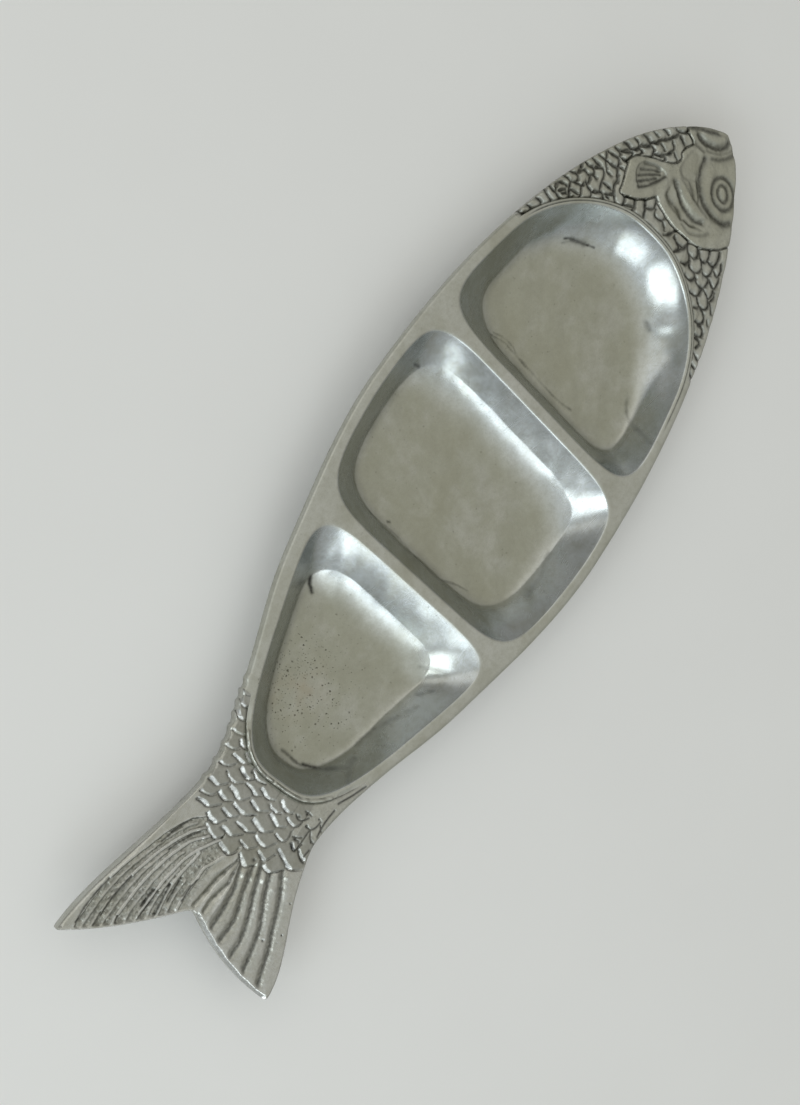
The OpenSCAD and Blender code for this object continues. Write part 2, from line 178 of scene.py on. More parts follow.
def rounded_corners(loop, corners, reach, rounds):
    """Rounds the loop near the named corners by averaging neighbours."""
    near = np.min([np.hypot(*(loop - c).T) for c in np.asarray(corners)], axis=0) < reach
    for _ in range(rounds):
        even = 0.5 * loop + 0.25 * (np.roll(loop, 1, 0) + np.roll(loop, -1, 0))
        loop = np.where(near[:, None], even, loop)
    return loop


def joined(*parts):
    """One closed loop of parts that follow each other, each end of a part being the start of the next."""
    return np.vstack([part[:-1] for part in parts])


def step_between(a, b):
    return resample(np.array([a, b]), 0.5)


class Edge:
    """A line, with a quick way to the nearest place on it."""

    def __init__(self, line):
        self.line = line
        self.along = np.r_[0, np.cumsum(np.hypot(*np.diff(line, axis=0).T))]
        self.tree = KDTree(len(line))
        for i, (x, y) in enumerate(line):
            self.tree.insert((x, y, 0), i)
        self.tree.balance()

    def near(self, p):
        """Distance of each point from the line, and how far along the line that is."""
        at = np.array([self.tree.find((x, y, 0))[1] for x, y in p], int)
        best, way = np.full(len(p), FAR), np.zeros(len(p))
        for k in (np.maximum(at - 1, 0), np.minimum(at, len(self.line) - 2)):
            a, ab = self.line[k], self.line[k + 1] - self.line[k]
            t = clamp01(np.sum((p - a) * ab, 1) / np.maximum(np.sum(ab * ab, 1), 1e-12))
            d = np.hypot(*(p - a - t[:, None] * ab).T)
            way = np.where(d < best, lerp(self.along[k], self.along[k + 1], t), way)
            best = np.minimum(best, d)
        return best, way


def outlines():
    """The outline of the whole platter, and closed loops of the rim, the head and the tail, all anticlockwise."""
    s = np.linspace(0, 1, EVEN_T // 10)
    up_x = np.linspace(TAIL_SPLIT, TAIL_X, EVEN_T // 10)
    low_x = np.linspace(WAIST_X - LOWER_L, TAIL_SPLIT, EVEN_T // 10)
    parts = [
        body_edge(1, HEAD_SPLIT, NOSE_X)[::-1],
        body_edge(1, TAIL_SPLIT, HEAD_SPLIT, 1.0)[::-1],
        resample(np.stack([up_x, upper_y(up_x)], 1), 0.5),
        resample(trail(1, s)[::-1], 0.5),
        resample(trail(-1, s), 0.5),
        resample(np.stack([low_x, lower_y(low_x)], 1), 0.5),
        body_edge(-1, TAIL_SPLIT, HEAD_SPLIT, 1.0),
        body_edge(-1, HEAD_SPLIT, NOSE_X),
    ]
    whole = rounded_corners(joined(*parts), [parts[3][0], parts[3][-1], parts[4][-1]], 3.0, 12)
    whole = rounded_corners(whole, [parts[3][-1]], 4.5, 40)
    whole = np.vstack([whole, whole[:1]])
    first = np.r_[0, np.cumsum([len(part) - 1 for part in parts])]
    up_head, up_mid, up_tail, up_trail, low_trail, low_tail, low_mid, low_head = (
        whole[a : b + 1] for a, b in zip(first[:-1], first[1:])
    )
    loops = {
        "rim": joined(
            low_mid, step_between(low_mid[-1], HEAD_COLLAR[0]), HEAD_COLLAR, step_between(HEAD_COLLAR[-1], up_mid[0]),
            up_mid, step_between(up_mid[-1], TAIL_COLLAR[-1]), TAIL_COLLAR[::-1],
            step_between(TAIL_COLLAR[0], low_mid[0]),
        ),
        "head": joined(
            low_head, up_head, step_between(up_head[-1], HEAD_COLLAR[-1]), HEAD_COLLAR[::-1],
            step_between(HEAD_COLLAR[0], low_head[0]),
        ),
        "tail": joined(
            up_tail, up_trail, low_trail, low_tail, step_between(low_tail[-1], TAIL_COLLAR[0]), TAIL_COLLAR,
            step_between(TAIL_COLLAR[-1], up_tail[0]),
        ),
    }
    return whole, loops, (first[3], first[4], first[5])


FAR = 99.0
OUTLINE, LOOPS, TRAIL_SPAN = outlines()
OUTLINE_EDGE, HEAD_EDGE, TAIL_EDGE = Edge(OUTLINE), Edge(HEAD_COLLAR), Edge(TAIL_COLLAR)
TRAIL_WAY = OUTLINE_EDGE.along[list(TRAIL_SPAN)]


def round_drop(d, radius):
    """How far a rounded edge lies below the flat, at a distance from the edge."""
    off = radius - np.minimum(d, radius)
    return radius - np.sqrt(np.maximum(radius**2 - off**2, 0))


def edge_drop(p):
    """Fall of the top towards the outline."""
    d, way = OUTLINE_EDGE.near(p)
    x = p[:, 0]
    radius = 1.9 - 0.5 * smooth((x - HEAD_SPLIT) / 20) - 0.9 * smooth((TAIL_SPLIT - x) / 70)
    radius = radius + 1.8 * smooth((-178 - x) / 30) * (p[:, 1] > 0)
    radius = np.where((way > TRAIL_WAY[0]) & (way < TRAIL_WAY[2]), 0.8, radius)
    bevel = np.maximum(1.7 - d, 0) * smooth((way - TRAIL_WAY[1] - 1) / 3) * smooth((TRAIL_WAY[2] - way) / 3)
    return np.maximum(round_drop(d, radius), bevel)


# Soft waves of a surface that was finished by hand
WAVE_DRAW = np.random.default_rng(11)
WAVES = [
    (2 * np.pi / length * math.cos(turn), 2 * np.pi / length * math.sin(turn), phase)
    for length, turn, phase in zip(
        WAVE_DRAW.uniform(14, 48, 9), WAVE_DRAW.uniform(0, np.pi, 9), WAVE_DRAW.uniform(0, 6.28, 9)
    )
]


def wobble(x, y, shift=0.0):
    return sum(np.sin(kx * x + ky * y + phase + shift * (i + 1)) for i, (kx, ky, phase) in enumerate(WAVES)) / 3


def grit(p, size, seed):
    """Smooth random numbers from 0 to 1 over the plane, with lumps of about one size."""
    cell = np.floor(p / size)
    f = p / size - cell
    f = f * f * (3 - 2 * f)
    i, j = cell.T
    low = lerp(hash01(i, j + seed), hash01(i + 1, j + seed), f[:, 0])
    high = lerp(hash01(i, j + 1 + seed), hash01(i + 1, j + 1 + seed), f[:, 0])
    return lerp(low, high, f[:, 1])


def deck_wave(x, y):
    return 0.07 * wobble(x, y)


def stroke(tenths):
    """Points of a measured line, given as x and y in tenths of a millimetre."""
    return np.reshape(tenths, (-1, 2)) / 10


def curve(points, spans=7):
    """A smooth line through the points."""
    p = points
    p = np.vstack([2 * p[0] - p[1], p, 2 * p[-1] - p[-2]])
    t = np.linspace(0, 1, spans, endpoint=False)[:, None]
    out = []
    for a, b, c, d in zip(p[:-3], p[1:-2], p[2:-1], p[3:]):
        out.append(0.5 * (2 * b + (c - a) * t + (2 * a - 5 * b + 4 * c - d) * t**2 + (3 * b - a - 3 * c + d) * t**3))
    return np.vstack([*out, p[-2:-1]])


def ellipse(centre, long, short, turn, n=48):
    t = np.linspace(0, 2 * np.pi, n)
    c, s = math.cos(math.radians(turn)), math.sin(math.radians(turn))
    a, b = long * np.cos(t), short * np.sin(t)
    return np.asarray(centre) + np.stack([a * c - b * s, a * s + b * c], 1)


def distance(p, line, reach=6.0):
    """Distance of each point from a line, or FAR where it is over the reach."""
    out = np.full(len(p), FAR)
    near = ((p > line.min(0) - reach) & (p < line.max(0) + reach)).all(1)
    q, best = p[near], np.full(near.sum(), FAR)
    for a, b in zip(line[:-1], line[1:]):
        ab = b - a
        t = clamp01(((q - a) @ ab) / max(ab @ ab, 1e-12))
        best = np.minimum(best, np.hypot(*(q - a - t[:, None] * ab).T))
    out[near] = best
    return out


def inside(p, loop):
    hit = np.zeros(len(p), bool)
    for a, b in zip(loop, np.roll(loop, -1, 0)):
        if a[1] == b[1]:
            continue
        spans = (a[1] > p[:, 1]) != (b[1] > p[:, 1])
        hit ^= spans & (p[:, 0] < a[0] + (b[0] - a[0]) * (p[:, 1] - a[1]) / (b[1] - a[1]))
    return hit


def depth_in(p, loop, reach=FAR):
    """How far each point lies inside a loop, less than nothing outside."""
    d = distance(p, np.vstack([loop, loop[:1]]), reach)
    return np.where(inside(p, loop), d, -d)


def bell(d, width):
    return np.exp(-((d / width) ** 2))


def nearest(p, lines, reach=4.0):
    """Distance of each point from the nearest of some lines."""
    best = np.full(len(p), FAR)
    for line in lines:
        best = np.minimum(best, distance(p, line, reach))
    return best


ROOT_L = 9.5


def tiles(p, edges):
    """Scales that overlap like tiles, each given by its free edge. For each point: whether a scale covers it, how far
    it lies from the left and the right part of that edge, how far outside the edges of the scales above it, and a
    random number of the scale."""
    found, luck = np.zeros(len(p), bool), np.zeros(len(p))
    left, right, out = np.full(len(p), FAR), np.full(len(p), FAR), np.full(len(p), FAR)
    for i, edge in enumerate(edges):
        close = (p > edge.min(0) - 3).all(1) & (p < edge.max(0) + (ROOT_L, 3)).all(1)
        near = np.nonzero(close & ~found)[0]
        q = p[near]
        tip = int(np.clip(np.argmin(edge[:, 0]), 1, len(edge) - 2))
        one, two = distance(q, edge[: tip + 1], FAR), distance(q, edge[tip:], FAR)
        covered = inside(q, np.vstack([edge, edge[-1] + (ROOT_L, 0), edge[0] + (ROOT_L, 0)]))
        out[near] = np.where(covered, out[near], np.minimum(out[near], np.minimum(one, two)))
        mine = near[covered]
        left[mine], right[mine], luck[mine] = one[covered], two[covered], hash01(i, 3.0)
        found[mine] = True
    return found, left, right, out, luck


# Relief of the head, from measured lines
FACE = curve(stroke([
    2120, -440, 2070, -400, 2036, -371, 2007, -352, 1971, -311, 1934, -257, 1920, -200, 1916, -136, 1915, -69,
    1926, -8, 1943, 52, 1965, 90, 1925, 119, 1880, 166, 1854, 212, 1840, 256, 1881, 269, 1922, 286, 1966, 301,
    2000, 313, 2028, 306, 2056, 282, 2089, 234, 2120, 178, 2145, 131, 2173, 99, 2200, 87, 2223, 88, 2242, 102,
    2280, 98, 2330, 78, 2350, 130, 2400, 160, 2480, 190, 2620, 0, 2500, -300, 2260, -400,
]), 6)
FIN_AREA = curve(stroke([
    1930, 193, 1940, 225, 1970, 253, 2010, 265, 2050, 250, 2080, 200, 2095, 145, 2080, 110, 2030, 128, 1970, 162,
    1930, 193,
]), 5)
# Grooves between the scales of the head
HEAD_GROOVES = [
    [1383, 626, 1386, 605, 1397, 590], [1440, 605, 1442, 589, 1440, 573], [1502, 587, 1503, 570, 1501, 554],
    [1565, 581, 1553, 558, 1546, 519], [1596, 569, 1591, 547, 1591, 523, 1584, 485],
    [1630, 547, 1646, 541, 1659, 515, 1658, 499], [1633, 543, 1614, 540, 1597, 528], [1610, 520, 1640, 494],
    [1612, 497, 1631, 482], [1692, 540, 1692, 510, 1687, 491], [1689, 495, 1709, 468, 1717, 437],
    [1662, 472, 1666, 453, 1675, 427], [1730, 526, 1739, 508, 1743, 485, 1729, 470, 1715, 470],
    [1752, 488, 1777, 483, 1788, 467, 1787, 441], [1717, 437, 1694, 423, 1662, 408], [1715, 436, 1732, 433],
    [1747, 426, 1735, 402, 1732, 378, 1705, 361], [1787, 441, 1793, 431, 1765, 419, 1748, 418],
    [1793, 431, 1805, 418, 1803, 399], [1810, 502, 1788, 491], [1825, 489, 1825, 464, 1832, 439, 1812, 417],
    [1828, 436, 1852, 423, 1865, 402, 1859, 385, 1833, 369, 1805, 363, 1768, 348],
    [1868, 469, 1868, 442, 1867, 419], [1907, 452, 1909, 423, 1909, 405], [1944, 428, 1910, 409, 1885, 387],
    [1912, 407, 1916, 366, 1928, 335], [1887, 385, 1872, 371, 1872, 346],
    [1956, 422, 1963, 383, 1970, 358, 1950, 342, 1926, 337, 1901, 315], [2000, 405, 2000, 374, 1982, 357],
    [2007, 373, 2027, 345, 2045, 320, 2036, 311], [2113, 347, 2109, 325, 2099, 311, 2110, 294, 2132, 273],
    [2161, 320, 2158, 292], [2053, 336, 2072, 316, 2094, 301], [2091, 299, 2086, 276],
    [1982, 357, 1984, 331, 1994, 313], [1936, 338, 1943, 312],
    [1899, 317, 1876, 299, 1852, 300, 1820, 285, 1785, 249, 1771, 233], [1812, 356, 1815, 328, 1818, 305],
    [1730, 377, 1763, 344, 1770, 324], [1768, 323, 1745, 299], [1772, 319, 1788, 295, 1810, 277],
    [1854, 236, 1825, 211, 1798, 203], [1869, 169, 1839, 152, 1808, 148], [1808, 198, 1819, 181, 1837, 151],
    [1908, 126, 1866, 97, 1832, 78], [1771, 301, 1775, 285], [2113, 349, 2110, 330, 2101, 314],
    [2216, 289, 2216, 272, 2216, 256], [2265, 256, 2267, 235, 2262, 218], [2321, 209, 2318, 190, 2319, 174],
    [2320, 175, 2335, 153, 2356, 141, 2370, 152], [2000, 387, 2013, 364, 2039, 345, 2041, 321, 2034, 309],
    [2053, 343, 2073, 312, 2109, 306, 2121, 283, 2145, 265, 2162, 268],
    [2162, 268, 2181, 243, 2206, 235, 2244, 204, 2284, 181, 2308, 172], [2091, 293, 2088, 278, 2075, 278],
    [2152, 254, 2145, 235, 2129, 227, 2101, 218],
    [2131, 218, 2144, 188, 2171, 169, 2202, 152, 2229, 153, 2254, 178], [2195, 220, 2192, 198, 2185, 186],
    [2164, 170, 2148, 155], [2211, 139, 2201, 118, 2194, 106], [2360, 127, 2347, 104, 2335, 78],
    [1843, 226, 1822, 211, 1800, 203], [1850, 216, 1875, 182, 1870, 168, 1840, 152, 1815, 147],
    [1914, 127, 1888, 107, 1854, 91, 1833, 82], [1881, 95, 1895, 73, 1914, 61, 1946, 75, 1955, 85],
    [1914, 51, 1890, 39, 1884, 19, 1892, -9, 1909, -16], [1892, -16, 1878, -40, 1863, -50],
    [1842, -60, 1865, -82, 1899, -97, 1913, -106], [1874, -115, 1865, -139, 1853, -165, 1828, -164],
    [1849, -174, 1871, -192, 1907, -198, 1917, -184], [1932, -254, 1907, -273], [1968, -315, 1950, -328],
    [1883, -113, 1868, -140, 1865, -168, 1872, -187, 1905, -194, 1917, -188], [1819, -159, 1842, -173, 1865, -180],
    [1897, -197, 1875, -216, 1869, -240, 1872, -269, 1892, -279, 1914, -272, 1929, -257],
    [1802, -221, 1812, -245, 1832, -255, 1855, -250, 1867, -238],
    [1925, -266, 1902, -290, 1889, -313, 1902, -334, 1929, -333, 1964, -316],
    [1849, -255, 1826, -266, 1816, -286, 1816, -311, 1832, -330, 1861, -331, 1887, -311],
    [1912, -339, 1912, -365, 1919, -385, 1949, -388, 1980, -378, 2000, -369],
    [1861, -337, 1849, -355, 1852, -385, 1886, -391, 1911, -388],
    [1769, -277, 1766, -305, 1779, -326, 1802, -328, 1816, -311],
    [1799, -336, 1786, -346, 1779, -370, 1786, -397, 1809, -405, 1839, -401, 1852, -385],
    [1901, -396, 1889, -420, 1896, -434, 1926, -431, 1955, -412],
    [1846, -402, 1832, -431, 1829, -453, 1863, -453, 1893, -443],
    [1720, -346, 1723, -369, 1736, -397, 1773, -401, 1786, -397],
    [1786, -403, 1773, -432, 1766, -456, 1792, -462, 1819, -454],
    [1729, -395, 1710, -417, 1699, -443, 1706, -470, 1729, -478, 1758, -459], [1673, -413, 1683, -430, 1698, -435],
    [1812, -466, 1789, -477, 1756, -470], [1753, -473, 1737, -494, 1716, -513],
    [1696, -446, 1689, -476, 1669, -497, 1640, -501, 1627, -486, 1623, -463], [1673, -514, 1656, -533],
    [1620, -484, 1626, -505, 1613, -527, 1587, -535, 1570, -516, 1569, -501], [1560, -511, 1560, -536, 1544, -554],
    [1632, -500, 1617, -523, 1595, -539, 1580, -533, 1568, -507], [1568, -513, 1562, -541, 1540, -552, 1522, -548],
    [1495, -551, 1485, -576, 1479, -592], [1440, -575, 1431, -606], [1398, -590, 1379, -621],
]
HEAD_SLOTS = [
    [1691, 493, 1666, 484, 1643, 466, 1626, 445, 1639, 439], [2058, 380, 2061, 358, 2051, 338],
    [2163, 322, 2167, 298, 2159, 272], [2306, 158, 2296, 140, 2287, 120], [2058, 382, 2060, 364, 2055, 344],
]
# Strokes of the face: points, half width, depth and darkness
FACE_STROKES = [
    ([1930, 196, 1970, 162, 2030, 130, 2075, 113], 0.7, 0.7, 1.0),
    ([1945, 220, 1980, 188, 2035, 142], 0.7, 0.7, 1.0), ([1975, 230, 2020, 188, 2065, 136], 0.7, 0.7, 1.0),
    ([2010, 236, 2050, 188, 2078, 144], 0.7, 0.65, 0.95), ([2050, 236, 2078, 188, 2086, 154], 0.7, 0.5, 0.8),
    ([2096, 53, 2073, 19, 2042, -25, 2024, -65, 2018, -110, 2018, -157, 2035, -192], 1, 1, 1),
    ([2016, 49, 2002, 12, 1995, -33, 1988, -65, 1974, -82], 0.8, 0.6, 0.75),
    ([1953, -105, 1943, -153, 1957, -189, 1986, -229, 2019, -252], 0.6, 0.4, 0.5),
    ([1982, -104, 1982, -144, 1997, -167], 0.6, 0.45, 0.6), ([2146, -20, 2132, -44, 2103, -79], 0.8, 0.5, 0.65),
    ([2232, -15, 2193, -38, 2161, -69, 2118, -108, 2097, -118], 0.5, 0.35, 0.45),
    ([2309, -12, 2261, -21, 2218, -40, 2175, -72, 2140, -112, 2119, -155, 2109, -211, 2109, -258, 2123, -297,
    2148, -318], 1.15, 1.1, 1),
    ([2383, 85, 2373, 50, 2381, 8, 2396, -28, 2421, -57, 2453, -75, 2469, -72], 1.1, 1.1, 1),
    ([2385, 140, 2408, 104, 2435, 56, 2463, 9], 1.1, 0.9, 0.9), ([2336, 76, 2333, 13], 0.8, 0.5, 0.65),
    ([2338, -44, 2365, -79, 2399, -109, 2443, -130], 0.9, 0.6, 0.8),
    ([2352, 0, 2375, -44, 2413, -84, 2458, -113], 0.9, 0.45, 0.45),
]
# Shallow fields of the face, lowered or raised: loop, depth
HOLLOWS = [
    ([2105, 60, 2070, 15, 2045, -50, 2036, -110, 2040, -170, 2070, -200, 2086, -130, 2100, -60, 2130, 30], -0.45),
    ([1995, 60, 1970, 0, 1962, -90, 1975, -165, 2005, -220, 2020, -190, 2010, -110, 2024, -40, 2050, 20, 2060, 60],
    0.45), ([2170, 75, 2240, 80, 2300, 65, 2310, 10, 2240, -15, 2180, -35, 2145, 0, 2140, 45], 0.5),
    ([2390, 80, 2386, 40, 2400, 0, 2425, -36, 2460, -56, 2480, -30, 2450, 30, 2415, 85], -0.4),
]
GROOVE_LINES = [curve(stroke(points), 5) for points in HEAD_GROOVES]
SLOT_LINES = [curve(stroke(points), 5) for points in HEAD_SLOTS]
FACE_LINES = [(curve(stroke(points)), *rest) for points, *rest in FACE_STROKES]
HOLLOW_LOOPS = [(curve(stroke(points + points[:2]))[:-1], depth) for points, depth in HOLLOWS]
EYE = (224.0, -19.9)
FACE_LINES += [(ellipse(EYE, 8.3, 6.5, 47), 0.8, 0.8, 0.95), (ellipse(EYE, 4.4, 3.0, 47), 0.7, 0.65, 0.9)]
EYE_BALL = ellipse(EYE, 3.9, 2.6, 47)
FACE_RISE = 0.6


def head_relief(p):
    """Height above the rim's plane, darkness, coarseness and dullness of the head at each point."""
    x, y = p.T
    d = np.minimum(nearest(p, GROOVE_LINES), 0.7 * nearest(p, SLOT_LINES))
    d = np.maximum(d + 0.45 * (grit(p, 1.6, 5) - 0.5), 0)
    deep_side = lerp(1.0, 1.3, smooth((y - 10) / 15))
    z = -deep_side * (0.7 * bell(d, 0.65) + 0.7 * bell(d, 1.7))
    # Dark patina in the cores of the grooves, with a broader painted shade round them
    dark = clamp01(0.58 * bell(d, 0.5) + 0.4 * bell(d, 1.6))
    fade = smooth((x - 136.5) / 5)
    waves = 0.12 * wobble(1.9 * x, 1.9 * y) + 0.2 * wobble(3.3 * x, 3.3 * y, 2.0)
    z = z + fade * (waves + 0.15 * (grit(p, 1.1, 2) - 0.5))
    # Groove beside the collar
    ring = HEAD_EDGE.near(p)[0]
    z = z - 0.8 * bell(ring, 0.9) * fade
    dark = np.maximum(dark, 0.8 * bell(ring, 0.75) * fade)
    # Face
    deep = depth_in(p, FACE, 9.0)
    face = deep > 0
    flat = FACE_RISE * (1 - np.exp(-np.maximum(deep, 0) / 1.0)) + 0.3 * smooth(deep / 9)
    # The face's tone: dark patina in the cores of its strokes, with broader painted shade round the strokes and in its
    # sunk fin and hollows
    tone = np.zeros(len(p))
    fin = depth_in(p, FIN_AREA, 4.0)
    flat = flat - 0.6 * smooth((fin + 0.5) / 1.4)
    tone = np.maximum(tone, 0.3 * smooth((fin + 0.2) / 1.0))
    for loop, depth in HOLLOW_LOOPS:
        field = smooth((depth_in(p, loop, 8.0) + 0.9) / 2.8)
        flat = flat - 1.7 * depth * field
        tone = np.maximum(tone, 0.1 * field * (depth > 0))
    for line, width, depth, tint in FACE_LINES:
        d = np.maximum(distance(p, line, 7.0) + 0.4 * (grit(p, 1.8, 9) - 0.5), 0)
        flat = flat - depth * (0.7 * bell(d, 1.2 * width) + 0.6 * bell(d, 2.6 * width))
        tone = np.maximum(tone, tint * (0.5 * bell(d, 1.15 * width) + 0.32 * bell(d, 2.3 * width)))
    flat = flat + 0.45 * smooth(depth_in(p, EYE_BALL, 5.0) / 2.4)
    flat = flat + 0.16 * wobble(2.2 * x, 2.2 * y, 4.0) + 0.1 * (grit(p, 1.2, 7) - 0.5)
    moat = smooth(1.5 + deep / 0.9) * (deep <= 0)
    z = np.where(face, flat, z - 0.9 * moat)
    dark = np.where(face, tone, np.maximum(dark, 0.78 * moat))
    return z + deck_wave(x, y), dark, 0.25 * fade, lerp(0.5, 1.0, face) * fade


# Relief of the tail: free edges of its scales, then ridges, cuts and grooves of its rays
SCALE_EDGES = [
    [-1316, 352, -1334, 332, -1336, 312, -1324, 290], [-1266, 368, -1283, 350, -1284, 336, -1274, 316],
    [-1218, 384, -1233, 368, -1234, 356, -1226, 338], [-1394, 319, -1392, 291, -1386, 265, -1379, 248],
    [-1464, 306, -1463, 283, -1458, 261, -1441, 241], [-1411, 264, -1429, 246, -1427, 221, -1416, 209],
    [-1480, 254, -1485, 220, -1487, 193, -1471, 168], [-1540, 285, -1538, 260, -1526, 233, -1507, 218],
    [-1445, 207, -1457, 189, -1464, 163, -1452, 149], [-1561, 223, -1572, 198, -1576, 172, -1549, 136],
    [-1511, 188, -1524, 162, -1531, 133, -1507, 101], [-1482, 136, -1503, 104, -1506, 81, -1498, 47],
    [-1625, 283, -1627, 252, -1626, 230, -1594, 195], [-1688, 284, -1684, 251, -1674, 226, -1659, 211],
    [-1648, 213, -1658, 192, -1660, 164, -1639, 127], [-1603, 181, -1611, 149, -1626, 121, -1613, 94, -1588, 73],
    [-1548, 126, -1555, 91, -1568, 61, -1548, 30], [-1528, 55, -1539, 30, -1546, 4, -1534, -28],
    [-1725, 276, -1724, 247, -1726, 219, -1709, 193, -1683, 167],
    [-1652, 124, -1660, 95, -1667, 70, -1657, 41, -1632, 6], [-1597, 63, -1610, 37, -1614, 7, -1589, -36],
    [-1560, -20, -1572, -39, -1576, -66, -1563, -90], [-1520, -58, -1538, -81, -1544, -110, -1533, -136],
    [-1697, 153, -1705, 127, -1707, 103, -1683, 71], [-1750, 201, -1763, 172, -1767, 146, -1751, 125, -1724, 106],
    [-1707, 63, -1714, 31, -1715, -3, -1694, -41], [-1662, 7, -1672, -24, -1679, -56, -1668, -81, -1646, -106],
    [-1597, -48, -1612, -80, -1621, -107, -1600, -145],
    [-1564, -125, -1575, -146, -1577, -176, -1558, -195, -1535, -199], [-1764, 109, -1767, 77, -1768, 46, -1732, 4],
    [-1792, 170, -1807, 139, -1818, 104, -1794, 77], [-1763, 1, -1772, -26, -1773, -53, -1744, -85],
    [-1711, -47, -1723, -76, -1727, -106, -1713, -129, -1685, -148],
    [-1651, -122, -1658, -148, -1656, -174, -1633, -187, -1600, -182],
    [-1826, 72, -1838, 40, -1841, 11, -1816, -13, -1790, -17], [-1812, -30, -1830, -57, -1844, -87, -1812, -123],
    [-1756, -98, -1769, -124, -1774, -145, -1757, -162, -1724, -177],
    [-1643, -209, -1659, -231, -1655, -248, -1619, -256], [-1647, -259, -1667, -285, -1675, -311],
    [-1698, -173, -1719, -214, -1741, -258, -1737, -283, -1711, -323],
    [-1797, -161, -1805, -182, -1800, -206, -1758, -249],
]
UPPER_RIDGES = [
    [-1770, 213, -1802, 248, -1848, 278, -1910, 308, -1989, 335, -2068, 362, -2149, 387, -2239, 404, -2305, 410,
    -2378, 411, -2424, 410, -2458, 407],
    [-1811, 176, -1851, 211, -1914, 246, -1988, 278, -2070, 303, -2127, 318, -2187, 330, -2266, 339, -2339, 340,
    -2397, 341, -2416, 338],
    [-1833, 142, -1879, 184, -1932, 209, -1995, 232, -2063, 250, -2137, 264, -2207, 269, -2277, 273, -2329, 273,
    -2363, 265], [-1857, 112, -1899, 139, -1960, 164, -2034, 179, -2098, 189, -2170, 193, -2229, 195, -2286, 186],
    [-1962, 133, -2021, 142, -2077, 146, -2138, 142, -2219, 127],
    [-1900, 43, -1947, 67, -1995, 67, -2061, 70, -2125, 69, -2154, 65],
]
UPPER_CUTS = [
    [-2145, 320, -2226, 333, -2290, 336, -2346, 333], [-2137, 199, -2177, 204, -2219, 204],
    [-2082, 153, -2141, 146, -2223, 134], [-2133, 184, -2190, 182, -2251, 188, -2287, 187],
    [-2312, 269, -2357, 257], [-2336, 341, -2400, 337], [-2033, 126, -2094, 121, -2145, 118],
    [-2002, 60, -2045, 69, -2112, 66], [-1825, 170, -1865, 199, -1915, 227, -1966, 247],
    [-1785, 218, -1809, 242, -1888, 276, -1954, 296], [-2203, 396, -2278, 407, -2353, 412, -2427, 406],
]
LOWER_RIDGES = [
    [-1864, 30, -1916, 52, -1975, 61, -2042, 64, -2096, 58, -2126, 54],
    [-1905, 0, -1946, 23, -2004, 39, -2058, 39, -2102, 28],
    [-1862, -34, -1914, -37, -1982, -22, -2046, -23, -2101, -25],
    [-1862, -59, -1929, -73, -2001, -79, -2065, -79, -2120, -81],
]
LOWER_GROOVES = [
    [-1905, -27, -1951, -13, -1998, -7, -2058, 2, -2096, 9],
    [-1902, -66, -1931, -71, -1981, -60, -2037, -48, -2099, -47],
    [-1894, -88, -1947, -107, -2006, -115, -2068, -119, -2132, -120],
    [-1884, -138, -1945, -154, -2024, -183, -2099, -191, -2168, -183],
    [-1850, -174, -1933, -206, -2024, -244, -2112, -268, -2202, -269],
    [-1814, -215, -1905, -252, -2015, -311, -2107, -337, -2221, -362],
    [-1778, -262, -1883, -323, -1995, -370, -2090, -411, -2242, -461],
]
TAIL_CUTS = [
    [-1525, -153, -1537, -176, -1528, -200, -1504, -217], [-1489, -185, -1488, -205, -1490, -220],
    [-1541, -227, -1542, -253, -1519, -270, -1487, -273], [-1613, -199, -1604, -223, -1593, -239],
    [-1617, -212, -1613, -237], [-1546, -256, -1575, -277, -1587, -307], [-1647, -259, -1675, -291, -1679, -314],
    [-1653, -298, -1619, -303], [-1642, -211, -1655, -228, -1655, -248, -1611, -249, -1549, -251],
    [-1500, -280, -1522, -303], [-1375, -296, -1310, -330, -1240, -360], [-1550, -300, -1480, -292, -1410, -298],
]
# Drops of metal: place, reach, height. Pits: place, reach
BLOBS = [
    (-194.6, 11.6, 1.5, 0.5), (-192.1, 9.9, 0.7, 0.5), (-198.2, 9.7, 1.2, 0.5), (-204.1, 10.6, 1.0, 0.4),
    (-183.8, 14.6, 0.9, 0.5), (-181.7, 18.4, 1.2, 0.5), (-186.9, -10, 1.3, 0.5), (-185.9, -14.1, 1.3, 0.5),
    (-184.1, -19.6, 1.4, 0.5), (-185.1, -25.9, 1.2, 0.3), (-177.2, -28, 1.3, 0.4),
    (-132.8, 33.2, 1.2, 0.5), (-127.7, 35.2, 1.1, 0.5), (-122.8, 36.9, 1.0, 0.5),
]
PITS = [
    (-185.8, -36.7, 0.4), (-205.6, -35.5, 0.6), (-199.1, -41.6, 0.45), (-179.3, -10.8, 1.0), (-152.7, -17.2, 0.9),
    (-149.5, -19.9, 0.9), (-161.4, -21.7, 0.9), (-162.1, -23.9, 0.6), (-148.3, -26, 0.5), (-153.9, -22.9, 0.6),
    (-158.6, -28.9, 0.5), (-155.3, 23.2, 0.6), (-149.2, 13.2, 0.7),
]
SCALE_LINES = sorted((curve(stroke(points), 5) for points in SCALE_EDGES), key=lambda edge: -edge[:, 0].min())


def rooted(points, more):
    """A measured line, run on a little before its first point."""
    points = stroke(points)
    a, b = points[:2]
    return curve(np.vstack([a + (a - b) / np.hypot(*(a - b)) * more, points]))


def between(one, two, start):
    """A line half way between two others, from a share of their length on."""
    t = np.linspace(start, 1, 40)
    a, b = (np.stack([np.interp(t, np.linspace(0, 1, len(q)), q[:, k]) for k in (0, 1)], 1) for q in (one, two))
    return (a + b) / 2


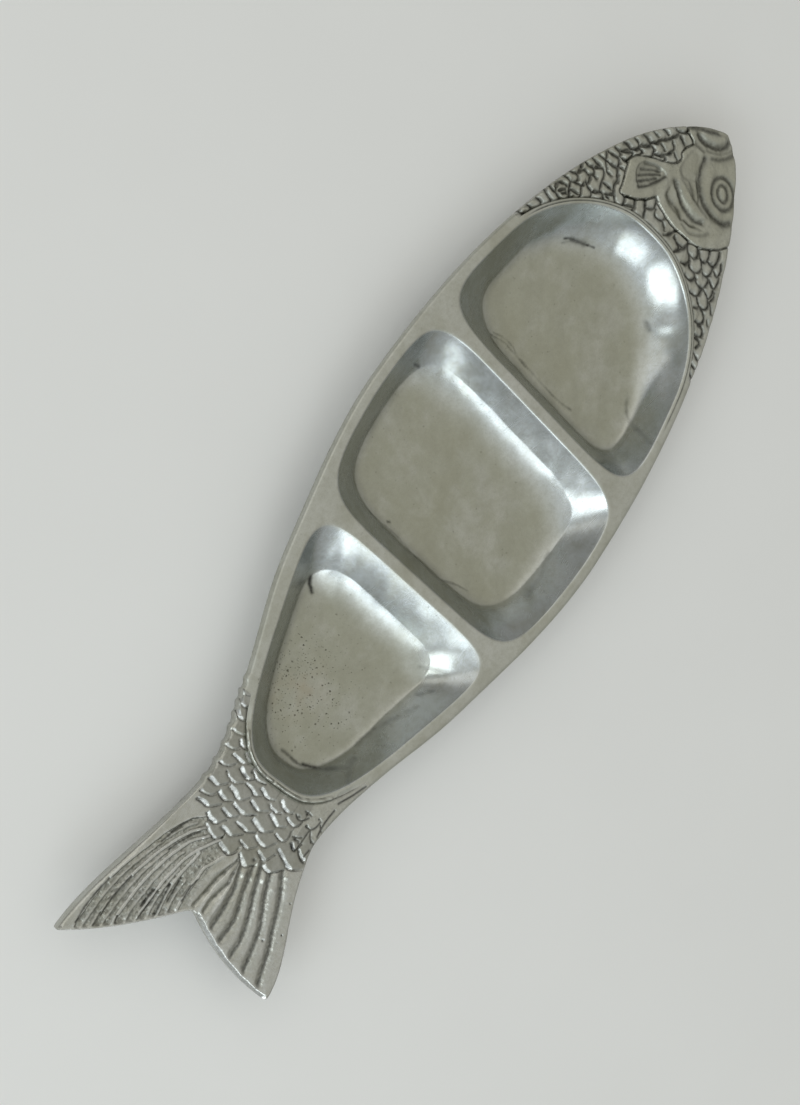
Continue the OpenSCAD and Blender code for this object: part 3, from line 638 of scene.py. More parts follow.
RIDGE_LINES = [rooted(points, 6) for points in UPPER_RIDGES]
THIN_LINES = [between(a, b, 0.12 + 0.1 * i) for i, (a, b) in enumerate(zip(RIDGE_LINES[:-1], RIDGE_LINES[1:]))]
CUT_LINES = [curve(stroke(points), 5) for points in UPPER_CUTS]
LOW_RIDGE_LINES = [rooted(points, 5) for points in LOWER_RIDGES]
WEAK_FLUTES = 2
FLUTE_LINES = [rooted(points, 7) for points in LOWER_GROOVES]
TAIL_CUT_LINES = [curve(stroke(points), 5) for points in TAIL_CUTS]
BAND_LINE = RIDGE_LINES[0][np.argsort(RIDGE_LINES[0][:, 0])]


def ray_relief(p):
    """Height, darkness, coarseness and painted highlight of the fin rays of both lobes."""
    x, y = p.T
    drawn = np.stack([0.45 * (0.93 * x - 0.36 * y), 0.36 * x + 0.93 * y], 1)
    rough, ragged = grit(drawn, 0.75, 11) - 0.5, grit(p, 0.8, 23) - 0.5
    # Upper lobe: thin ridges with rough floors between them, and a smooth band outside
    ridge = np.maximum(smooth(1.8 - nearest(p, RIDGE_LINES, 6.0) / 0.6), 0.7 * bell(nearest(p, THIN_LINES, 6.0), 0.6))
    band = smooth((y - np.interp(x, *BAND_LINE.T)) / 0.9)
    cut = bell(nearest(p, CUT_LINES) + 0.3 * ragged, 0.5)
    up_coarse = (1 - band) * (1 - 0.85 * ridge)
    up_z = lerp(-0.85 + 0.95 * ridge, -0.1, band) - 0.5 * cut + up_coarse * (0.4 * rough + 0.35 * ragged)
    spots = smooth(0.4 - 2.2 * rough) * lerp(0.1, 0.4, smooth((-185 - x) / 40))
    up_dark = np.maximum(0.9 * cut, up_coarse * (0.08 + spots))
    # Lower lobe: broad flutes with dark creases
    strong, weak = (nearest(p, lines, 6.0) for lines in (FLUTE_LINES[WEAK_FLUTES:], FLUTE_LINES[:WEAK_FLUTES]))
    crease = np.minimum(strong, 1.35 * weak + 0.35)
    low_z = 0.1 - 1.25 * bell(crease, 1.9) + 0.3 * bell(nearest(p, LOW_RIDGE_LINES, 6.0), 0.9)
    low_dark = 0.72 * smooth(1.3 - (crease + 0.6 * rough + 0.35 * ragged) / 1.0)
    low_coarse = 0.15 + 0.7 * bell(crease, 1.4)
    low_z = low_z + low_coarse * (0.2 * rough + 0.2 * ragged)
    side = smooth((y - 1.0) / 5)
    # Painted highlight: lighter on the lower lobe's ridges and flute tops, and on the upper lobe's ridges and smooth
    # band
    low_painted_sheen = 0.55 * bell(nearest(p, LOW_RIDGE_LINES, 6.0), 1.0) + 0.35 * smooth((crease - 1.5) / 1.5)
    up_painted_sheen = 0.6 * ridge * (1 - band) * (1 - cut) + 0.3 * band
    return tuple(
        lerp(low, up, side)
        for low, up in ((low_z, up_z), (low_dark, up_dark), (low_coarse, up_coarse), (low_painted_sheen, up_painted_sheen))
    )


LEFT_W, LEFT_FALL, RIGHT_W, RIGHT_DEEP = 2.0, 0.76, 1.0, 0.7


def tail_relief(p):
    """Height above the rim's plane, darkness, coarseness and dullness of the tail, less than nought where a highlight
    is painted.
    """
    x, y = p.T
    found, left, right, out, luck = tiles(p, SCALE_LINES)
    top = -0.05 * np.minimum(np.minimum(left, right), ROOT_L) + 0.25 * (luck - 0.5)
    width = LEFT_W * (0.4 + 0.35 * luck + 0.5 * grit(p, 3.0, 47))
    bevel = clamp01(1 - left / width)
    top = top - np.maximum(LEFT_FALL * width * bevel, RIGHT_DEEP * clamp01(1 - right / RIGHT_W))
    ray_z, ray_dark, ray_coarse, ray_painted_sheen = ray_relief(p)
    rays = smooth((-164 - x) / 5)
    z = np.where(found, top, lerp(-0.5, ray_z, rays)) - 0.45 * bell(out, 0.8)
    # Painted shadow: a dark line just outside the free edge of each scale, on the scale beneath
    line = smooth(1.4 - out / 0.55) * (0.3 + 0.75 * grit(p, 2.0, 53))
    dark = np.maximum(line, np.where(found, 0.27, ray_dark * rays))
    # Painted highlight on the left bevel of each scale's free edge, and on the rays
    painted_sheen = np.where(found, 0.8 * smooth(3 * bevel), ray_painted_sheen * rays)
    coarse = np.where(found, 0.15, lerp(0.3, ray_coarse, rays))
    # Rays run out before the trailing edges, which get a painted highlight
    d_edge, way = OUTLINE_EDGE.near(p)
    reach = np.where(way > TRAIL_WAY[1], 3.2, 1.5)
    flat = np.where((way > TRAIL_WAY[0]) & (way < TRAIL_WAY[2]), smooth(1.3 - d_edge / reach), 0)
    z, dark, coarse, painted_sheen = lerp(z, -0.15, flat), dark * (1 - flat), coarse * (1 - flat), lerp(painted_sheen, 0.7, flat)
    z = z + 0.3 * bell(d_edge - 0.6, 0.4) * flat * (way < TRAIL_WAY[1])
    # The strip beside the well on the right is plain
    plain = smooth((x + 153) / 8) * smooth((-20 - y) / 6)
    z, dark = lerp(z, -0.25 * smooth((-126 - x) / 8), plain), dark * (1 - plain)
    cut = bell(nearest(p, TAIL_CUT_LINES), 0.5)
    z, dark = z - 0.5 * cut, np.maximum(dark, 0.9 * cut)
    for bx, by, r, h in BLOBS:
        z = z + h * bell(np.hypot(x - bx, y - by), r)
    for bx, by, r in PITS:
        hole = bell(np.hypot(x - bx, y - by), r)
        z, dark = z - 0.6 * hole, np.maximum(dark, hole)
    ring = TAIL_EDGE.near(p)[0]
    shut = smooth((-124 - x) / 5)
    z = z - 0.6 * bell(ring, 0.8) * shut
    dark = np.maximum(dark, 0.65 * bell(ring, 0.7) * shut)
    fine = 0.12 * (grit(p, 1.0, 31) - 0.5) + 0.03 * wobble(2.5 * x, 2.5 * y)
    z = z * smooth((-122.5 - x) / 3) + deck_wave(x, y) + fine * shut
    return z, dark, coarse * shut, (0.3 - 1.3 * painted_sheen) * shut


# The rim: a fine line round the front of the head well, a bead behind the tail well
HEAD_LINE = well_points(WELLS["head_well"], -0.9, np.linspace(-2.2, 1.5, 700))
TAIL_BEAD = well_points(WELLS["tail_well"], -1.6, np.linspace(np.pi - 0.8, np.pi + 0.75, 300))


def rim_relief(p):
    """Height above the rim's plane, darkness, coarseness and dullness of the rim at each point."""
    x, y = p.T
    line = distance(p, HEAD_LINE, 3.0)
    shown = smooth((x - np.where(y > 0, 136, 103)) / 12)
    d = distance(p, TAIL_BEAD, 3.0)
    bead = bell(d, 0.95) * (0.3 + 1.6 * grit(p, 2.2, 41))
    z = deck_wave(x, y) - 0.35 * bell(line, 0.45) * shown + 1.1 * bead
    z = z - round_drop(HEAD_EDGE.near(p)[0], 0.02 + 0.6 * smooth((x - 137) / 6))
    z = z - round_drop(TAIL_EDGE.near(p)[0], 0.02 + 0.6 * smooth((-124 - x) / 6))
    return z, 0.8 * bell(line, 0.5) * shown, 0 * x, 0 * x


class Shell:
    """Points and faces of one closed piece."""

    def __init__(self):
        self.points, self.faces, self.count = [], [], 0

    def add(self, points):
        """Takes in points of three numbers each and gives their places."""
        self.points.append(points)
        self.count += len(points)
        return np.arange(self.count - len(points), self.count)

    def band(self, a, b):
        """Joins two rows of equal length round a loop. Seen from outside, b is below a where they run right."""
        self.faces += [
            (int(a[i]), int(b[i]), int(b[j]), int(a[j]))
            for i, j in zip(range(len(a)), np.roll(np.arange(len(a)), -1))
        ]

    def all_points(self):
        return np.vstack(self.points)

    def fill(self, loops, between, height, up):
        """Closes the space inside the first loop, less the others, with a net over the points between."""
        have = self.all_points()
        rings = [have[loop][:, :2] for loop in loops]
        flat = np.vstack([*rings, between]) if len(between) else np.vstack(rings)
        edges, start = [], 0
        for ring in rings:
            n = len(ring)
            edges += [(start + i, start + (i + 1) % n) for i in range(n)]
            start += n
        out = delaunay_2d_cdt([Vector(q) for q in flat], edges, [], 1, 1e-7)
        if len(out[0]) != len(flat):
            raise ValueError("points of a net fell together")
        faces = np.array(out[2])
        middle = flat[faces].mean(1)
        keep = np.ones(len(faces), bool)
        for ring in rings[1:]:
            keep &= ~inside(middle, ring)
        faces = faces[keep]
        a, b, c = flat[faces[:, 0]], flat[faces[:, 1]], flat[faces[:, 2]]
        turn = (b[:, 0] - a[:, 0]) * (c[:, 1] - a[:, 1]) - (b[:, 1] - a[:, 1]) * (c[:, 0] - a[:, 0])
        wrong = (turn > 0) != up
        faces[wrong] = faces[wrong][:, ::-1]
        place = np.concatenate(loops)
        if len(between):
            place = np.concatenate([place, self.add(np.column_stack([between, height(between)]))])
        self.faces += [tuple(int(k) for k in f) for f in place[faces]]


def normals(loop):
    along = np.roll(loop, -1, 0) - np.roll(loop, 1, 0)
    along /= np.maximum(np.hypot(*along.T), 1e-9)[:, None]
    return np.stack([along[:, 1], -along[:, 0]], 1)


def grid(loop, step, clear, holes=()):
    """Points of an even triangular net inside a loop and outside the holes, clear of their edges."""
    lo, hi = loop.min(0), loop.max(0)
    rows = np.arange(lo[1], hi[1], step * math.sqrt(3) / 2)
    columns = np.arange(lo[0], hi[0], step)
    gx = columns[None, :] + (np.arange(len(rows)) % 2)[:, None] * step / 2
    p = np.stack([gx.ravel(), np.repeat(rows, len(columns))], 1)
    p = p[inside(p, loop) & (p[:, 0] > lo[0])]
    for hole in holes:
        p = p[~inside(p, hole)]
    return clear_of(p, np.vstack([loop, *holes]), clear)


def clear_of(p, points, clear):
    tree = KDTree(len(points))
    for i, (x, y) in enumerate(points):
        tree.insert((x, y, 0), i)
    tree.balance()
    return p[np.array([tree.find((x, y, 0))[2] for x, y in p]) > clear]


TOP_INSETS, LOW_INSETS, LOW_R = (0.05, 0.2, 0.5, 0.9, 1.4), (0.05, 0.25, 0.6), 0.9


def edge_points(loop, insets):
    """Points along the outline at some insets, where they lie inside the loop."""
    out = normals(OUTLINE[:-1])
    p = np.vstack([OUTLINE[:-1] - inset * out for inset in insets])
    return clear_of(p[inside(p, loop)], loop, 0.04)


def plate(loop, relief, low, more, holes=()):
    """A plate of the casting: its relief on top, rounded edges, a flat underside. Holes are loops of a well's lip."""
    shell = Shell()

    def top_height(p):
        return RIM_Z + relief(p)[0] - edge_drop(p)

    def low_height(p):
        return low + round_drop(OUTLINE_EDGE.near(p)[0], LOW_R)

    tops, lows = [], []
    for ring in (loop, *holes):
        tops.append(shell.add(np.column_stack([ring, top_height(ring)])))
        lows.append(shell.add(np.column_stack([ring, low_height(ring)])))
    shell.band(tops[0], lows[0])
    for top, low_ring in zip(tops[1:], lows[1:]):
        shell.band(low_ring, top)
    shell.fill(tops, more, top_height, True)
    shell.fill(lows, edge_points(loop, LOW_INSETS), low_height, False)
    return shell


def relief_plate(name, relief, low, step):
    loop = LOOPS[name]
    rows = edge_points(loop, TOP_INSETS)
    return plate(loop, relief, low, np.vstack([rows, clear_of(grid(loop, step, 0.5 * step), rows, 0.5 * step)]))


# Rows of the rim's net beside the line of the head and the bead of the tail
HEAD_INSETS = (-0.35, -0.65, -0.9, -1.15, -1.5, -1.9, -2.2, -2.4)
TAIL_INSETS = (-0.5, -0.9, -1.3, -1.6, -1.9, -2.2, -2.4)


def rim_shell():
    loop = LOOPS["rim"]
    lips = [well_points(form, LIP_OUT, TURNS[name]) for name, form in WELLS.items()]
    head_t, tail_t = np.linspace(-2.2, 1.75, 700), np.linspace(np.pi - 0.9, np.pi + 0.85, 400)
    fine = np.vstack([
        resample(well_points(WELLS[well], inset, turns), step)
        for well, turns, step, insets in (
            ("head_well", head_t, 0.7, HEAD_INSETS), ("tail_well", tail_t, 0.5, TAIL_INSETS),
        )
        for inset in insets
    ])
    fine = clear_of(fine[inside(fine, loop)], loop, 0.08)
    rows = edge_points(loop, TOP_INSETS)
    rows = clear_of(np.vstack([fine, clear_of(rows, fine, 0.04)]), np.vstack(lips), 0.1)
    return plate(loop, rim_relief, RIM_LOW, np.vstack([rows, clear_of(grid(loop, 1.5, 0.8, lips), rows, 0.7)]), lips)


# The lip stands a little outside the edge of the CAD's well, where the photograph shows it
LIP_OUT = -0.6
# Slopes of each well's walls in degrees, below the lip and above the floor
TOP_SLOPE = {"head_well": 60, "middle_well": 54, "tail_well": 41}
WALL_SLOPE = {"head_well": 52, "middle_well": 51, "tail_well": 50}
LIP_R, FLOOR_SLOPE, FLOOR_EDGE_Z = 1.8, 8, 4.5
# A wall turns into the floor in two arcs: slope between them and their radii. Towards +X the turn is soft,
# elsewhere crisp
SOFT_TURN = {"head_well": (38, 44.0, 26.0), "middle_well": (42, 6.0, 28.0), "tail_well": (42, 6.0, 26.0)}
CRISP_TOP, CRISP_TURN = {"head_well": 50, "middle_well": 54, "tail_well": 54}, (30, 3.0, 10.0)
# The rear corner of the -Y side is steeper behind these places
STEEP_FROM, STEEP_FADE = {"head_well": 140, "middle_well": -999, "tail_well": -85}, 40
STEEP_TOP, STEEP_WALL, STEEP_TURN, STEEP_WAY = 64, 68, (30, 3.0, 8.0), np.array([-0.5, -0.87])
# Dents in the wall: place, reach, depth
DENTS = [(155, -38.5, 4.5, 0.8), (141, -49, 5.0, -0.6)]
SOFT_WAY = np.array([1.0, -0.2])
DISH_R, DISH_REACH = 69.0, 9.6


def wall_line(top, wall, turn):
    """Insets and heights of a well's inside from the lip down to the edge of the floor."""
    between, first_r, second_r = turn
    # From slope, to slope, radius, steps; the wall's own arc takes up the height that the others leave
    arcs = [
        (0, top, LIP_R, 6), (top, wall, None, 16), (wall, between, first_r, 8), (between, FLOOR_SLOPE, second_r, 22),
    ]

    def drop(a, b):
        return abs(math.cos(math.radians(a)) - math.cos(math.radians(b)))

    left = RIM_Z - FLOOR_EDGE_Z - sum(radius * drop(a, b) for a, b, radius, _ in arcs if radius)
    line, s, z = [(LIP_OUT, RIM_Z)], LIP_OUT, RIM_Z
    for a, b, radius, steps in arcs:
        radius = radius or left / drop(a, b)
        for t in np.linspace(a, b, steps + 1)[1:]:
            ds = abs(math.sin(math.radians(t)) - math.sin(math.radians(a))) * radius
            line.append((s + ds, z - drop(a, t) * radius))
        s, z = line[-1]
    return np.array(line)


def foot_line():
    """Insets and heights of a well's outside down to its foot."""
    foot_in = RIM_LOW / math.tan(WALL_TILT) + FOOT_R * math.tan(WALL_TILT / 2)
    foot = [(foot_in - FOOT_R * math.sin(a), FOOT_R * (1 - math.cos(a))) for a in np.linspace(WALL_TILT, 0, 9)]
    wall = [tuple(lerp(np.array((0, RIM_LOW)), np.array(foot[0]), t)) for t in np.linspace(0, 1, 5)[:-1]]
    return [(LIP_OUT, RIM_LOW)] + wall + foot


# Dark smears and creases in the wells, as they show at the floor: points, half width, darkness
MARKS = [
    ([1530, 304, 1556, 271, 1579, 219, 1611, 148], 0.6, 0.9), ([1510, 297, 1560, 258], 0.6, 0.4),
    ([1552, 274, 1574, 229, 1588, 198], 1.2, 0.8), ([-1307, -117, -1286, -174], 1.0, 0.9),
    ([1160, -460, 1091, -504, 1030, -570, 970, -630], 0.9, 0.35),
    ([893, 333, 916, 255, 913, 181, 903, 101, 900, 38, 890, -55, 885, -157, 895, -249], 0.5, 0.45),
    ([918, 316, 935, 258, 933, 196, 911, 143, 908, 81], 0.5, 0.4),
    ([-172, 372, -187, 273, -182, 187, -191, 91, -210, 9, -219, -89, -213, -165, -183, -246, -165, -326],
    0.55, 0.45), ([242, -562, 171, -567, 106, -579, 37, -571, -14, -573], 0.9, 0.3),
    ([495, 570, 502, 555, 505, 540], 0.7, 0.8), ([-158, 212, -152, 202], 0.6, 0.7),
    ([-1310, 2, -1310, -36, -1317, -89, -1307, -129, -1287, -171, -1264, -211, -1230, -244, -1205, -274], 0.9, 0.6),
    ([-1149, -285, -1190, -276, -1231, -278, -1273, -281], 0.8, 0.35),
    ([-1095, -276, -1034, -289, -943, -320, -863, -359, -782, -399], 0.8, 0.3),
    ([-609, -324, -592, -362, -566, -411], 0.9, 0.4), ([-728, -384, -673, -424], 0.9, 0.5),
    ([-602, 375, -625, 358, -650, 320], 1.0, 1.0), ([1513, -311, 1490, -345], 1.6, 0.5),
]
MARK_LINES = [(curve(stroke(points)), *rest) for points, *rest in MARKS]
MARK_DEEP = 0.25


def marks(p):
    dark = np.zeros(len(p))
    d_shift = 0.5 * (grit(p, 1.4, 17) - 0.5)
    worn = clamp01(0.15 + 1.5 * grit(p, 5.0, 29))
    for line, width, tint in MARK_LINES:
        faded = tint * (worn if tint < 0.7 else 1.0)
        dark = np.maximum(dark, faded * bell(np.maximum(distance(p, line, 4.0) + d_shift, 0), width))
    return dark


def floor_wave(p):
    return 0.08 * wobble(p[:, 0], p[:, 1], 2.0) + 0.03 * wobble(2.2 * p[:, 0], 2.2 * p[:, 1], 6.0)


EVEN_ROUNDS = 80


def evened(loop, share):
    """A closed loop with a share of its unevenness taken out."""
    for _ in range(EVEN_ROUNDS):
        loop = lerp(loop, 0.5 * loop + 0.25 * (np.roll(loop, 1, 0) + np.roll(loop, -1, 0)), share)
    return loop


def well_shell(name):
    form, t = WELLS[name], TURNS[name]
    shell, rows = Shell(), []
    lip = well_points(form, 0, t)
    way = normals(lip)
    steep = smooth(0.9 * way @ STEEP_WAY) * smooth((STEEP_FROM[name] - lip[:, 0]) / STEEP_FADE)
    soft, steep = (evened(v[:, None], 1.0)[:, 0] for v in (smooth(0.15 + 0.9 * way @ SOFT_WAY), steep))
    crisp_line = wall_line(CRISP_TOP[name], CRISP_TOP[name] + 3, CRISP_TURN)
    steep_line = wall_line(STEEP_TOP, STEEP_WALL, STEEP_TURN)
    soft_line = wall_line(TOP_SLOPE[name], WALL_SLOPE[name], SOFT_TURN[name])
    for crisp_row, soft_row, steep_row in zip(crisp_line, soft_line, steep_line):
        inset, z = (lerp(lerp(crisp_row[k], soft_row[k], soft), steep_row[k], steep) for k in (0, 1))
        down = smooth((RIM_Z - z) / 8)
        plain = evened(well_points(form, inset, t), down[:, None])
        x, y = plain.T
        push = down * (0.2 * wobble(0.8 * x, 0.8 * y, 1.0) + 0.05 * wobble(2.1 * x, 2.1 * y, 5.0))
        for dent_x, dent_y, reach, depth in DENTS:
            push = push + down * depth * bell(np.hypot(x - dent_x, y - dent_y), reach)
        wave = lerp(deck_wave(x, y), floor_wave(plain), down) - MARK_DEEP * marks(plain) * down
        rows.append(shell.add(np.column_stack([plain - normals(plain) * push[:, None], z + wave])))
    for a, b in zip(rows[:-1], rows[1:]):
        shell.band(b, a)
    inner = shell.all_points()[rows[-1]][:, :2]
    floor_edge = Edge(np.vstack([inner, inner[:1]]))

    def floor_height(p):
        left = clamp01(1 - floor_edge.near(p)[0] / DISH_REACH)
        return FLOOR_EDGE_Z - 0.5 * DISH_REACH**2 / DISH_R * (1 - left**2) + floor_wave(p) - MARK_DEEP * marks(p)

    shell.fill([rows[-1]], grid(inner, 0.8, 0.5), floor_height, True)
    outer = [shell.add(np.column_stack([well_points(form, inset, t), np.full(RING_N, z)])) for inset, z in foot_line()]
    for a, b in zip([rows[0], *outer[:-1]], outer):
        shell.band(a, b)
    shell.fill([outer[-1]], np.zeros((0, 2)), None, False)
    return shell


PIT_AT, PIT_REACH = (-103.0, 10.0), (27.0, 27.0)


def finish_and_painted_light_of(name, points):
    """Darkness (patina and painted shade), coarseness, polish with painted sheen, pitting and dullness of each point.
    """
    p, z = points[:, :2], points[:, 2]
    if name not in WELLS:
        relief, low = {
            "rim": (rim_relief, RIM_LOW), "head": (head_relief, RIM_LOW), "tail": (tail_relief, TAIL_LOW),
        }[name]
        shown = z > low + 1.5
        dark, coarse, dull = relief(p)[1:]
        # A relief's dullness below nought is its painted highlight
        painted_sheen, dull = np.maximum(-dull, 0) * shown, np.maximum(dull, 0) * shown
        return np.stack([dark * shown, np.where(shown, coarse, 0.6), painted_sheen, 0 * z, dull], 1)
    dark = np.where(z > 3.2, marks(p), 0)
    # The walls are polished: smoother, and painted with a bluish sheen that stands in for reflected light
    polish_and_sheen = smooth((z - FLOOR_Z - 1.5) / 5) * smooth((RIM_Z - 0.1 - z) / 0.6)
    away = np.hypot((p[:, 0] - PIT_AT[0]) / PIT_REACH[0], (p[:, 1] - PIT_AT[1]) / PIT_REACH[1])
    pits = lerp(0.03, 1.0, bell(away, 0.8)) * (1 - polish_and_sheen)
    return np.stack([dark, 0 * z, polish_and_sheen, pits, 1 - smooth((z - FLOOR_Z) / 2.5)], 1)


def make_piece(name, shell, material, nodes, crisp):
    points = shell.all_points()
    mesh = bpy.data.meshes.new(name)
    mesh.from_pydata(points * MM, [], shell.faces)
    mesh.validate()
    mesh.polygons.foreach_set("use_smooth", np.ones(len(mesh.polygons), bool))
    mesh.set_sharp_from_angle(angle=math.radians(crisp))
    finish_and_painted_light = finish_and_painted_light_of(name, points).astype(np.float32)
    paint = mesh.attributes.new("finish_and_painted_light", "FLOAT_COLOR", "POINT")
    paint.data.foreach_set("color", finish_and_painted_light[:, :4].ravel())
    wear = mesh.attributes.new("dull", "FLOAT", "POINT")
    wear.data.foreach_set("value", finish_and_painted_light[:, 4])
    mesh.materials.append(material)
    piece = bpy.data.objects.new(name + "_casting", mesh)
    bpy.context.scene.collection.objects.link(piece)
    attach(piece, "root")
    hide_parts(*nodes)
    return piece


class Nodes:
    """Short ways to add and join shader nodes."""

    def __init__(self, tree):
        self.tree = tree
        tree.nodes.clear()

    def add(self, kind, inputs=None, **settings):
        node = self.tree.nodes.new(kind)
        for key, value in settings.items():
            setattr(node, key, value)
        for key, value in (inputs or {}).items():
            self.put(node.inputs[key], value)
        return node

    def put(self, socket, value):
        if isinstance(value, bpy.types.NodeSocket):
            self.tree.links.new(value, socket)
        else:
            socket.default_value = value

    def math(self, operation, a, b=0.0, clamp=False):
        node = self.add("ShaderNodeMath", operation=operation, use_clamp=clamp)
        self.put(node.inputs[0], a)
        self.put(node.inputs[1], b)
        return node.outputs[0]

    def span(self, value, from_lo, from_hi, to_lo=0.0, to_hi=1.0):
        node = self.add("ShaderNodeMapRange", {
            "Value": value, "From Min": from_lo, "From Max": from_hi, "To Min": to_lo, "To Max": to_hi,
        })
        return node.outputs["Result"]

    def mix(self, factor, a, b):
        node = self.add("ShaderNodeMix", data_type="RGBA")
        self.put(node.inputs["Factor"], factor)
        self.put(node.inputs["A"], a)
        self.put(node.inputs["B"], b)
        return node.outputs["Result"]

    def noise(self, vector, scale, detail=3.0, rough=0.55):
        node = self.add("ShaderNodeTexNoise", {"Vector": vector, "Scale": scale, "Detail": detail, "Roughness": rough})
        return node.outputs["Fac"]

    def turned(self, vector, turn, scale):
        node = self.add("ShaderNodeMapping", {"Vector": vector, "Rotation": (0, 0, turn), "Scale": scale})
        return node.outputs["Vector"]


def casting_material(name, base, worn, dull_base, painted_sheen, rough_plain, rough_polished):
    """Cast aluminium: mottled, finely scratched, dark in its grooves with patina and painted shade, pitted, and
    polished with a painted sheen where the paint says so.
    """
    material = bpy.data.materials.new(name)
    material.use_nodes = True
    n = Nodes(material.node_tree)
    place = n.add("ShaderNodeTexCoord").outputs["Object"]
    paint = n.add("ShaderNodeAttribute", attribute_name="finish_and_painted_light")
    split = n.add("ShaderNodeSeparateColor", {"Color": paint.outputs["Color"]})
    dark, coarse, polish_and_sheen = split.outputs[0], split.outputs[1], split.outputs[2]
    pits = paint.outputs["Alpha"]
    dull = n.add("ShaderNodeAttribute", attribute_name="dull").outputs["Fac"]

    mottle = n.noise(place, 45.0, 4.0)
    cloud = n.noise(place, 24.0, 6.0, 0.62)
    grain = n.noise(place, 1500.0, 3.0)
    speckle = n.noise(place, 620.0, 4.0, 0.65)
    sandy = n.noise(place, 1150.0, 3.0, 0.7)
    long_scratch = n.noise(n.turned(place, 0.5, (26, 1500, 26)), 1.0, 2.0)
    cross_scratch = n.noise(n.turned(place, -0.75, (22, 1200, 22)), 1.0, 2.0)
    scratch = n.math("MAXIMUM", n.span(long_scratch, 0.6, 0.78), n.span(cross_scratch, 0.62, 0.8))

    # Colour
    colour = n.mix(n.span(mottle, 0.3, 0.72), (*worn, 1), (*base, 1))
    colour = n.mix(n.math("MULTIPLY", dull, n.span(mottle, 0.3, 0.7, 1.0, 0.8), clamp=True), colour, (*dull_base, 1))
    # Painted sheen: where the paint says polish, a tint stands in for highlights and reflections
    colour = n.mix(n.math("MULTIPLY", polish_and_sheen, 0.9), colour, (*painted_sheen, 1))
    patch = n.noise(place, 95.0, 5.0, 0.6)
    sand = n.noise(place, 420.0, 3.0, 0.6)
    for field, none_at, most_at, most, tint in (
        (cloud, 0.52, 0.66, 0.30, (0.60, 0.60, 0.57, 1)), (cloud, 0.50, 0.34, 0.36, (0.36, 0.35, 0.26, 1)),
        (patch, 0.50, 0.34, 0.20, (0.34, 0.335, 0.27, 1)), (patch, 0.53, 0.70, 0.16, (0.66, 0.66, 0.63, 1)),
        (grain, 0.35, 0.70, 0.22, (0.30, 0.295, 0.27, 1)), (sand, 0.56, 0.36, 0.22, (0.33, 0.325, 0.26, 1)),
    ):
        colour = n.mix(n.span(field, none_at, most_at, 0.0, most), colour, tint)
    uneven = n.span(speckle, 0.3, 0.68, 0.72, 1.08)
    # Darkness from the paint: patina in grooves, and painted shade beside some grooves and under the tail's scales;
    # with soot it goes towards near-black
    patina_and_shade = n.math("MULTIPLY", dark, uneven, clamp=True)
    sooty = n.span(n.math("MULTIPLY", n.math("ADD", speckle, sandy), 0.5), 0.48, 0.62)
    soot = n.math("MULTIPLY", coarse, sooty, clamp=True)
    patina_and_shade = n.math("MAXIMUM", patina_and_shade, n.math("MULTIPLY", soot, 0.6), clamp=True)
    colour = n.mix(patina_and_shade, colour, (0.035, 0.034, 0.030, 1))
    bent = n.add("ShaderNodeMix", {"Factor": 0.0012}, data_type="VECTOR")
    n.put(bent.inputs["A"], place)
    n.put(bent.inputs["B"], n.add("ShaderNodeTexNoise", {"Vector": place, "Scale": 900.0}).outputs["Color"])
    pit = None
    for scale, share in ((430.0, 0.26), (900.0, 0.34)):
        cells = n.add(
            "ShaderNodeTexVoronoi", {"Vector": bent.outputs["Result"], "Scale": scale, "Randomness": 1.0},
            voronoi_dimensions="2D",
        )
        hole = n.span(cells.outputs["Distance"], 0.24, 0.12)
        lucky = n.add("ShaderNodeSeparateColor", {"Color": cells.outputs["Color"]}).outputs[0]
        chosen = n.span(n.math("SUBTRACT", lucky, n.math("MULTIPLY", pits, share)), 0.02, -0.06)
        one = n.math("MULTIPLY", hole, chosen, clamp=True)
        pit = n.math("MAXIMUM", pit, one) if pit else one
    colour = n.mix(n.math("MULTIPLY", pit, 0.8), colour, (0.07, 0.065, 0.045, 1))
    stain = n.math("MULTIPLY", n.span(pits, 0.45, 1.0), n.span(n.noise(place, 60.0, 3.0), 0.45, 0.65), clamp=True)
    colour = n.mix(n.math("MULTIPLY", stain, 0.30), colour, (0.42, 0.33, 0.22, 1))

    # Gloss
    rough = n.span(polish_and_sheen, 0.0, 1.0, rough_plain, rough_polished)
    rough = n.math("ADD", rough, n.span(mottle, 0.3, 0.7, -0.04, 0.04))
    rough = n.math("ADD", rough, n.math("MULTIPLY", scratch, 0.04))
    rough = n.math("ADD", rough, n.math("MULTIPLY", patina_and_shade, 0.35))
    rough = n.math("ADD", rough, n.math("MULTIPLY", coarse, 0.08), clamp=True)

    # Fine relief
    lumps = n.math("MULTIPLY", n.math("SUBTRACT", speckle, 0.5), n.math("ADD", n.math("MULTIPLY", coarse, 0.9), 0.05))
    lumps = n.math("ADD", lumps, n.math("MULTIPLY", n.math("SUBTRACT", sandy, 0.5), n.math("MULTIPLY", coarse, 0.8)))
    fine = n.math("MULTIPLY", n.math("SUBTRACT", grain, 0.5), 0.10)
    lines = n.math("MULTIPLY", scratch, -0.03)
    height = n.math("ADD", n.math("ADD", lumps, fine), n.math("SUBTRACT", lines, n.math("MULTIPLY", pit, 0.5)))
    bump = n.add("ShaderNodeBump", {"Strength": 0.55, "Distance": 0.0004, "Height": height})

    shader = n.add("ShaderNodeBsdfPrincipled", {
        "Base Color": colour, "Roughness": rough, "Normal": bump.outputs["Normal"], "Metallic": 1.0,
    })
    out = n.add("ShaderNodeOutputMaterial")
    n.put(out.inputs["Surface"], shader.outputs["BSDF"])
    return material


